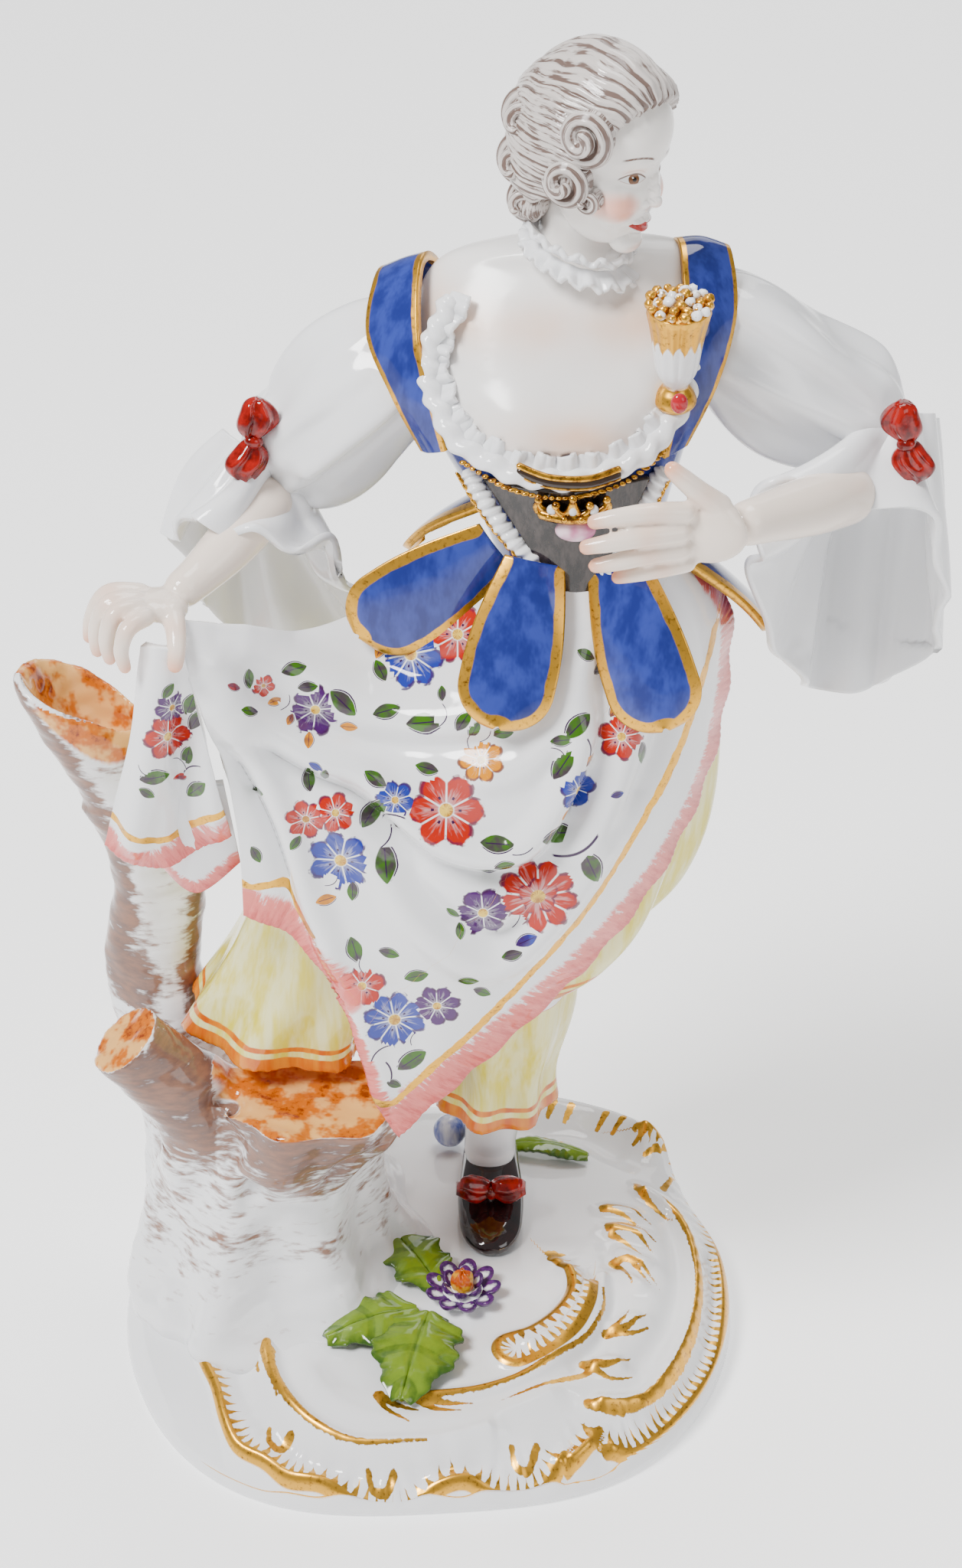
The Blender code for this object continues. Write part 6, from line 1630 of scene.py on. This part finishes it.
def makeArms():
    sleeve("sleeve_left", [(4.0, 3.2, 119.2, 4.6), (1.2, 3.2, 118.0, 5.8), (-2.6, 3.0, 116.2, 6.6),
                           (-6.4, 3.2, 112.6, 6.9),
                           (-10.0, 3.6, 108.8, 6.5), (-13.4, 4.0, 106.8, 5.6), (-16.4, 4.2, 105.4, 4.3)],
           [([(1, -3.6, 119), (-5, -3.6, 113), (-10, -2.4, 108)], 0.45, 1.1),
            ([(0, -3.6, 114.6), (-5, -3.4, 109.6), (-11, -1.6, 104.6)], -0.6, 1.2),
            ([(-4, -3.2, 117.4), (-9, -2.4, 113), (-14, -0.6, 109.6)], -0.45, 1.0),
            ([(-1, -3.6, 112), (-4, -3.8, 107), (-10, -1.6, 102.4)], 0.5, 1.1)], 0.4)
    sleeve("sleeve_right", [(22.6, 3.0, 120.6, 4.8), (25.6, 3.0, 120.4, 6.0), (30.2, 3.2, 118.6, 6.7),
                            (35.4, 3.6, 114.6, 7.0),
                            (40.4, 4.0, 111.4, 6.4), (44.0, 4.1, 109.4, 5.4), (46.6, 4.2, 108.2, 4.3)],
           [([(26, -3.6, 121), (33, -3.6, 117), (41, -1.8, 112)], 0.5, 1.1),
            ([(26, -3.8, 117.4), (33, -4, 112.6), (40, -2.6, 108)], -0.6, 1.2),
            ([(30, -2.2, 123), (37, -2, 118), (44, -0.6, 112.6)], -0.4, 1.0),
            ([(27, -3.4, 113.6), (33, -4, 109), (38, -3, 106)], 0.5, 1.1)], 2.2)
    cuff("cuff_left", [
        [(-13.6, 0.0, 106.8), (-10.6, 2.0, 101.6), (-12.6, 7.6, 100.6), (-17.0, 8.6, 104.2),
         (-18.0, 4.6, 108.0), (-16.6, 0.8, 109.2)],
        [(-15.4, -4.2, 105.0), (-9.4, -1.4, 98.2), (-10.6, 9.6, 91.4), (-18.0, 11.4, 94.0),
         (-21.4, 5.0, 103.0), (-19.4, -1.6, 106.0)],
        [(-17.0, -7.0, 104.0), (-8.0, -3.6, 99.6), (-6.4, 8.6, 84.6), (-18.2, 12.6, 80.6),
         (-23.2, 5.6, 93.6), (-22.6, -2.4, 102.6)]],
         [([(-12, 1, 104), (-9, 0, 98), (-6.6, 2, 90)], 0.8, 1.2),
          ([(-14, 3, 100), (-13, 6, 92), (-12, 9, 84)], -0.9, 1.4)], 0.5)
    cuff("cuff_right", [
        [(43.0, 0.0, 111.0), (41.0, 2.6, 106.0), (43.4, 7.6, 104.0), (47.6, 8.2, 106.6), (49.4, 4.2, 110.2),
         (47.0, 0.6, 112.4)],
        [(38.4, -5.4, 110.6), (36.0, -3.0, 100.6), (39.6, 7.4, 95.6), (46.6, 9.2, 97.0), (50.4, 2.6, 102.6),
         (46.4, -3.4, 109.0)],
        [(33.0, -8.6, 109.4), (32.4, -6.4, 98.4), (37.6, 1.0, 82.6), (45.6, 3.0, 80.6), (51.2, -1.0, 90.0),
         (47.2, -6.6, 105.0)]],
         [([(46, -2, 108), (48.6, -1.6, 98), (49, -1, 88)], 0.9, 1.3),
          ([(43, -3, 104), (43.6, -2, 95), (43, 1, 84)], -1.0, 1.5),
          ([(38, -4, 104), (38.6, -2, 94), (40, 2, 84)], 0.8, 1.3)], 1.7)
    for name, spot, way, up, seed in (("bow_left", (-15.4, -2.0, 111.2), (0.25, 0.2, 1.0),
                                       (-0.9, -0.4, 0.2), 0.5),
                                      ("bow_right", (46.0, -4.6, 112.4), (0.3, -0.1, -1.0),
                                       (0.9, -0.4, 0.2), 2.5)):
        item = closedGrid(name, bowGrids(spot, way, up, 4.1, 1.8, 1.3, seed))
        finished(item, [name], "red_glaze", redMaterial(name + "_glaze"))
    makeHand("hand_left", [(-13.0, 1.0, 104.6, 2.8), (-17.2, -5.0, 102.0, 2.55), (-20.6, -9.4, 100.4, 2.0),
                           (-22.8, -12.2, 99.9, 1.75)],
             [((-24.2, -13.4, 99.9), (3.4, 2.7, 1.25), (0.66, 0.12, 0)),
              ((-22.4, -14.0, 99.7), (1.9, 1.3, 1.2), (1.2, 0.2, 0))],
             [[(-24.6, -12.0, 100.2, 1.0), (-28.4, -12.6, 100.7, 0.92), (-30.1, -13.1, 98.4, 0.8),
               (-30.5, -13.6, 95.8, 0.62)],
              [(-24.8, -13.4, 100.4, 1.0), (-28.1, -14.5, 100.8, 0.92), (-29.5, -15.1, 98.4, 0.8),
               (-29.5, -15.4, 95.4, 0.62)],
              [(-24.8, -14.6, 100.4, 1.0), (-27.4, -16.3, 100.7, 0.92), (-28.4, -17.0, 98.4, 0.8),
               (-28.1, -17.0, 95.6, 0.62)],
              [(-24.2, -15.6, 100.2, 0.95), (-26.1, -18.0, 100.2, 0.85), (-26.9, -18.8, 98.2, 0.75),
               (-26.5, -18.8, 95.8, 0.58)],
              [(-22.6, -13.8, 99.8, 1.2), (-22.0, -16.6, 98.9, 1.0), (-21.9, -18.4, 97.4, 0.85),
               (-22.2, -19.0, 95.9, 0.68)]])
    makeHand("hand_right", [(42.0, -3.0, 106.4, 3.0), (37.0, -9.6, 108.4, 2.85), (32.0, -14.8, 109.9, 2.3),
                            (28.8, -17.8, 110.6, 1.9)],
             [((26.4, -18.6, 110.6), (3.9, 1.35, 3.1), (-0.2, 0, 0)),
              ((27.6, -18.6, 112.4), (2.2, 1.2, 1.5), (-0.2, 0.5, 0))],
             [[(25.4, -19.2, 113.0, 1.05), (21.6, -20.2, 113.5, 0.95), (18.4, -20.5, 113.2, 0.86),
               (15.6, -20.4, 112.5, 0.66)],
              [(25.0, -19.4, 111.2, 1.05), (21.0, -20.8, 111.4, 0.97), (17.8, -21.2, 111.0, 0.88),
               (14.9, -21.0, 110.3, 0.66)],
              [(25.2, -19.2, 109.4, 1.05), (21.2, -20.4, 109.3, 0.95), (18.4, -20.8, 108.8, 0.85),
               (15.8, -20.7, 108.2, 0.64)],
              [(25.6, -18.8, 107.8, 0.95), (22.4, -19.8, 107.5, 0.86), (20.2, -20.0, 107.1, 0.78),
               (17.9, -20.0, 106.6, 0.6)],
              [(28.4, -18.2, 112.4, 1.3), (26.0, -18.9, 114.6, 1.1), (24.2, -19.3, 116.4, 0.95),
               (22.6, -19.5, 118.0, 0.74)]])


# ---- head, hair and ruff

headCentre = np.array([16.8, -1.4, 140.6])
look = unit(np.array([0.80, -0.58, -0.12]))
crown = np.array([0.10, 0.02, 1.0])
crown = unit(crown - look * (look @ crown))
headTurn = np.stack([look, np.cross(crown, look), crown])

# face plan in millimetres of the head: forward, side, up
face = {"brow": 0.7, "eye": -0.9, "eye out": 2.1, "eye half": 1.25, "mouth": -5.6, "mouth half": 1.5,
        "iris": 0.52, "iris tone": (0.15, 0.055, 0.015), "lip tone": (0.42, 0.012, 0.006),
        "brow tone": (0.11, 0.045, 0.025)}

# ellipsoids whose smooth union is the head: centre and radii
headBalls = [((-0.6, 0, 1.6), (6.9, 5.7, 6.6)), ((1.3, 0, -2.6), (4.9, 4.5, 5.9)),
             ((1.6, 0, -5.6), (3.8, 3.4, 3.0)),
             ((4.3, 0, -7.6), (1.45, 1.7, 1.3)), ((3.7, 2.3, -3.5), (2.0, 1.9, 2.2)),
             ((3.7, -2.3, -3.5), (2.0, 1.9, 2.2)),
             ((2.5, 0, 2.6), (3.9, 4.5, 4.0)), ((5.7, 0, -0.4), (0.6, 0.62, 1.0)),
             ((6.0, 0, -1.4), (0.62, 0.58, 1.0)),
             ((6.3, 0, -2.3), (0.68, 0.58, 0.9)), ((6.55, 0, -3.05), (0.74, 0.62, 0.62)),
             ((5.9, 0.66, -3.35), (0.58, 0.40, 0.42)),
             ((5.9, -0.66, -3.35), (0.58, 0.40, 0.42)), ((5.55, 0, -5.2), (0.72, 1.25, 0.40)),
             ((5.45, 0, -6.0), (0.70, 1.05, 0.44))]


def headReach(way, balls, origin, soft):
    # far crossing of each ray with each ellipsoid, joined by a soft maximum
    total = np.zeros(way.shape[:-1])
    for centre, radii in balls:
        r = np.array(radii)
        d = way / r
        o = (origin - np.array(centre)) / r
        a, b, c = np.sum(d * d, -1), np.sum(d * o, -1), np.sum(o * o, -1) - 1
        inside = b * b - a * c
        far = np.where(inside > 0, (-b + np.sqrt(np.maximum(inside, 0))) / a, 0)
        total = total + np.exp(far / soft)
    return soft * np.log(total)


def headShell(rows, cols, axis):
    # directions on a sphere with its poles on one axis of the head
    t = np.linspace(0.02, math.pi - 0.02, rows)[:, None]
    a = np.linspace(0, 2 * math.pi, cols, endpoint=False)[None, :]
    x, y, z = np.sin(t) * np.cos(a), np.sin(t) * np.sin(a), np.cos(t) + 0 * a
    return np.stack([x, y, z] if axis == "up" else [z, x, y], -1), t + 0 * a, a + 0 * t


def makeHead():
    way, _, _ = headShell(190, 300, "up")
    origin = np.array([0.0, 0.0, -0.8])
    reach = headReach(way, headBalls, origin, 0.2)
    q = origin + way * reach[..., None]
    s, u = np.abs(q[..., 1]), q[..., 2]
    ahead = (q[..., 0] > 1.5).astype(float)
    def dent(side, up, wide, tall, depth):
        return depth * np.exp(-((s - side) / wide) ** 2 - ((u - up) / tall) ** 2) * ahead
    rise = (dent(1.9, -0.8, 1.25, 0.95, -0.55) + dent(2.1, -0.95, 0.85, 0.52, 0.42)
            + dent(2.0, 0.75, 1.5, 0.45, 0.16)
            + dent(0, -5.62, 1.3, 0.10, -0.16) + dent(0, -6.95, 1.1, 0.4, -0.22)
            + dent(0, -4.7, 0.3, 0.4, -0.10)
            + dent(2.1, -0.35, 1.0, 0.12, 0.10))
    q = q + way * rise[..., None]
    neck = tubeGrid([(14.2, 1.4, 125.8, 4.3), (14.6, 1.0, 129.0, 3.7), (15.2, 0.4, 132.4, 3.5),
                     (16.0, -0.4, 137.0, 3.6)], 40, 60)
    item = closedGrid("head", [q @ headTurn + headCentre, neck])
    local = (points(item) - headCentre) @ headTurn.T
    mark(item, "face", local)
    glaze = Glaze("head_glaze", 0.08)
    place = glaze.readVector("face")
    ahead, side, up = place.part(0), abs(place.part(1)), place.part(2)
    front = ahead.step(1.2, 2.0)

    def glow(outward, height, wide, tall):
        x = (side - outward) * (1 / wide)
        y = (up - height) * (1 / tall)
        return (x * x + y * y).step(1.0, 0.0)

    skin = (0.88, 0.84, 0.80)
    rosy = glow(3.1, -3.5, 2.1, 1.8) * 0.8 + glow(0.0, -3.5, 0.8, 0.9) * 0.2 + glow(0, -8.2, 1.4, 1.0) * 0.3
    colour = (rosy * front).least(1.0).mix(skin, (0.84, 0.29, 0.16))
    colour = (glow(2.1, -0.2, 1.5, 0.6) * front * 0.4).mix(colour, (0.80, 0.50, 0.38))
    x = (side - face["eye out"]) * (1 / face["eye half"])
    open_ = (1.0 - x * x).most(0.0)
    lid = up - face["eye"]
    upper = lid - open_ * 0.54
    lower = lid + open_ * 0.40
    within = upper.step(0.02, -0.02) * lower.step(-0.02, 0.02) * abs(x).step(1.0, 0.96) * front
    white = (0.80, 0.79, 0.78)
    eye = within.mix(colour, white)
    out = side - face["eye out"]
    iris = (out * out + (lid - 0.04) * (lid - 0.04)).maths("SQRT")
    eye = (iris.step(face["iris"] + 0.03, face["iris"] - 0.03) * within).mix(eye, face["iris tone"])
    eye = (iris.step(0.22, 0.17) * within).mix(eye, (0.01, 0.006, 0.005))
    # a tiny white dot in each iris, set off its middle: a painted highlight, the glint of light on the eye
    painted_eye_glint = ((out - 0.14) * (out - 0.14) + (lid - 0.20) * (lid - 0.20)).maths("SQRT").step(0.10, 0.06)
    eye = (painted_eye_glint * within).mix(eye, (0.95, 0.95, 0.95))
    edge = abs(upper).step(0.12, 0.05) * abs(x).step(1.06, 0.9)
    eye = (edge * front * 0.95).mix(eye, face["brow tone"])
    eye = (abs(lower).step(0.06, 0.02) * abs(x).step(1.02, 0.8) * front * 0.6).mix(eye, (0.45, 0.22, 0.16))
    fold = abs(lid - open_ * 0.50 - 0.42).step(0.06, 0.01) * abs(x).step(1.0, 0.6)
    eye = (fold * front * 0.55).mix(eye, (0.48, 0.22, 0.16))
    bx = (side - 2.3) * (1 / 1.5)
    arch = up - face["brow"] - (1.0 - bx * bx) * 0.34 - 0.35
    hairs = joined(side * 3.0 + up * 2.0, up * 0.6).noise(2.0, 2.0)
    brow = abs(arch).step(0.16, 0.06) * abs(bx).step(1.0, 0.75) * (hairs * 0.7 + 0.55).least(1.0)
    eye = (brow * front).mix(eye, face["brow tone"])
    mx = side * (1 / face["mouth half"])
    full = (1.0 - mx * mx).most(0.0)
    bowLip = glow(0.0, -5.1, 0.35, 0.30) * 0.12
    mouth = up - face["mouth"]
    lips = (mouth - full * 0.48 + bowLip).step(0.05, -0.03) * (mouth + full * 0.56).step(-0.05,
            0.03) * mx.step(1.0, 0.94)
    eye = (lips * front).mix(eye, face["lip tone"])
    line = abs(mouth - full * 0.02).step(0.06, 0.02) * mx.step(1.02, 0.95)
    eye = (line * front * 0.8).mix(eye, (0.25, 0.02, 0.015))
    nostril = glow(0.40, -3.78, 0.22, 0.13)
    eye = (nostril * ahead.step(4.8, 5.3) * 0.7).mix(eye, (0.45, 0.12, 0.08))
    glaze.set("Base Color", eye)
    wavyGlaze(glaze)
    finished(item, ["head"], "flesh_glaze", glaze.material)


hairPlan = {"strands": 44, "groove": 0.16, "thickness": 1.05, "pale": (0.58, 0.53, 0.50),
            "stroke": (0.09, 0.042, 0.028)}


def hairMaterial(name):
    # pale grey with fine brown strokes drawn along the strands
    glaze = Glaze(name, 0.12)
    strand = glaze.readVector("strand")
    across, along = strand.part(0), strand.part(1)
    line = joined(across * 3.2, along * 0.30).noise(1.0, 3.0, 0.65)
    breaks = joined(across * 0.9, along * 0.7).noise(0.8, 2.0)
    stroke = (line + (breaks - 0.5) * 0.45 + strand.part(2) * 0.26).step(0.44, 0.58)
    glaze.set("Base Color", (stroke * 0.88).mix(hairPlan["pale"], hairPlan["stroke"]))
    glaze.bump(line, 0.35, 0.12)
    return glaze.material


def curlGrid(spot, radius, half, turns, turn0, lean, way):
    # a strand wound as a snail: its radius shrinks to the middle while it rises outward
    t = np.linspace(0, 1, 150)
    angle = turn0 + way * 2 * math.pi * turns * t
    wind = radius * (1 - 0.80 * t ** 0.9)
    side = np.sign(spot[1]) * (half * (t - 0.35) * 0.9)
    path = np.stack([spot[0] + wind * np.cos(angle), spot[1] + side + lean * wind * np.cos(angle), spot[2]
                     + wind * np.sin(angle)], -1)
    thick = radius * 0.36 * (1 - 0.35 * t)
    rows = np.column_stack([path, thick])
    grid = tubeGrid(rows[::3], 150, 30, waves=lambda u, a: 0.10 * np.sin(5 * a + 3 * u)
                    + 0.05 * np.sin(11 * a))
    s = np.linspace(0, 1, 150)[:, None] * radius * 2 * math.pi * turns * 0.6
    a = np.linspace(0, 2 * math.pi, 30, endpoint=False)[None, :]
    strand = np.stack([np.cos(a) * radius * 0.36 * 2 + 0 * s, s + 0 * a, 0.6 * np.cos(5 * a + 3) + 0 * s], -1)
    return grid, strand


def makeHair():
    way, polar, turn = headShell(130, 352, "forward")
    origin = np.array([-0.6, 0.0, 0.6])
    reach = headReach(way, [headBalls[0], headBalls[1], headBalls[6], ((-2.4, 0, -1.6), (5.2, 5.2, 5.6))],
                      origin, 0.6)
    q = origin + way * reach[..., None]
    ahead, up = q[..., 0], q[..., 2]
    # the hair line in profile: height of the lower edge for each place forward
    edge = smoothLine([(-8, -7.4), (-5, -7.0), (-2.4, -5.4), (0.6, -3.4), (2.6, 0.0), (4.0, 3.2),
                       (5.0, 4.9), (7.0, 7.0)], 120)
    gap = (up - np.interp(ahead, edge[:, 0], edge[:, 1]) + 0.16 * np.sin(turn * 37)
           + 0.12 * np.sin(turn * 61 + 1)) * 0.8
    cover = np.clip(gap / 0.9 + 0.2, 0, 1)
    cover = cover * cover * (3 - 2 * cover)
    swirl = turn + 0.22 * np.sin(2 * turn) * np.sin(polar) + 0.03 * ripple(q, 4, 2)
    groove = np.abs(np.sin(hairPlan["strands"] / 2
                           * swirl)) ** 0.7 - 0.5 + 0.4 * np.sin(hairPlan["strands"] * 1.63 * swirl
                                   + 2 * polar)
    lift = hairPlan["thickness"] + 0.35 * np.sin(6 * swirl + 3 * polar) * 0.5
    lift = lift * np.clip(0.45 + gap / 5, 0, 1)
    q = q + way * (cover * (lift + hairPlan["groove"] * groove) - (1 - cover) * 1.6)[..., None]
    item = closedGrid("hair_cap", q @ headTurn + headCentre)
    width = 6.5 * swirl
    strand = np.stack([width, 7.0 * polar, -groove * 0.8], -1).reshape(-1, 3)
    mark(item, "strand", strand)
    finished(item, ["hair_cap"], "hair_glaze", hairMaterial("hair_glaze"))
    curls = {"curl_side_upper": [((1.9, -5.9, 3.0), 2.6, 2.4, 1.9, 2.4, 0.1, 1)],
             "curl_side_lower": [((0.7, -5.9, -1.7), 2.3, 2.4, 1.8, 2.0, 0.1, 1),
                                 ((2.8, -5.2, -3.0), 1.2, 1.4, 1.4, 2.6, 0.1, 1)],
             "curl_far": [((1.2, 5.9, 1.6), 2.4, 2.2, 1.8, 2.2, -0.1, 1),
                          ((0.8, 5.7, -2.6), 2.1, 2.0, 1.7, 2.2, -0.1, 1)],
             "curl_back_upper": [((-5.6, -3.6, 1.4), 2.4, 3.6, 1.8, 0.6, 0.3, 1),
                                 ((-5.8, 3.4, 1.4), 2.3, 3.4, 1.8, 0.6, -0.3, 1),
                                 ((-7.0, -0.1, 2.0), 2.0, 2.0, 1.4, 0.6, 0.0, 1)],
             "curl_back_middle": [((-5.6, -3.4, -2.9), 2.3, 3.4, 1.8, 0.8, 0.3, 1),
                                  ((-5.8, 3.2, -2.8), 2.2, 3.2, 1.8, 0.8, -0.3, 1),
                                  ((-6.8, -0.1, -2.0), 2.0, 2.0, 1.4, 0.8, 0.0, 1)],
             "curl_back_lower": [((-4.6, -3.0, -6.6), 1.9, 3.0, 1.7, 1.0, 0.3, 1),
                                 ((-4.8, 2.8, -6.4), 1.8, 2.8, 1.7, 1.0, -0.3, 1),
                                 ((-5.6, -0.1, -5.6), 1.7, 1.8, 1.4, 1.0, 0.0, 1)]}
    for name, winds in curls.items():
        grids, strands = [], []
        for spot, radius, half, turns, turn0, lean, wayRound in winds:
            spot = (spot[0], spot[1] if spot[1] else -0.1, spot[2])
            grid, strand = curlGrid(spot, radius, half, turns, turn0, lean, wayRound)
            grids.append(grid @ headTurn + headCentre)
            strands.append(strand.reshape(-1, 3))
            core = ballGrid(np.array(spot) * np.array([1, 0.86, 1]),
                            (radius * 0.95, half * 0.6, radius * 0.95), None, 20, 30)
            grids.append(core @ headTurn + headCentre)
            strands.append(np.column_stack([core[..., 0].ravel() * 2, core[..., 2].ravel() * 2,
                    np.zeros(600)]))
        item = closedGrid(name, grids)
        mark(item, "strand", np.concatenate(strands))
        finished(item, [name], "hair_glaze", hairMaterial(name + "_glaze"))


def makeRuff():
    # two gathered rows of lace round the neck
    a = np.linspace(0, 2 * math.pi, 420, endpoint=False)[None, :]
    v = np.linspace(0, 1, 10)[:, None]
    for name, nodes, low, out, rise, waves in (("neck_ruff", ["neck_ruff"], -0.2, 1.6, -0.8, 17),
            ("ruff_upper", [], 0.5, 1.2, 0.9, 15)):
        r = 3.95 + out * v + 0.10 * np.sin(waves * 2.3 * a) * v
        lift = low + rise * v + 0.36 * np.sin(waves * a + 0.6 * np.sin(3 * a)) * v
        x, y = r * np.cos(a), r * 0.96 * np.sin(a)
        z = 130.2 + lift - 0.30 * x + 0.12 * y
        p = np.stack([15.2 + x, -0.2 + y, z], -1)
        item = sheetGrid(name, p, 0.5, wrap=True)
        finished(item, nodes, "white_glaze", plainMaterial(name + "_glaze"))

# ---- all pieces


makeStage()
for step in (makeMound, makeTree, makePlants, makeFoot, makePetticoat, makeDress, makeArms, makeHead,
             makeHair, makeRuff):
    step()
    print("made", step.__name__)
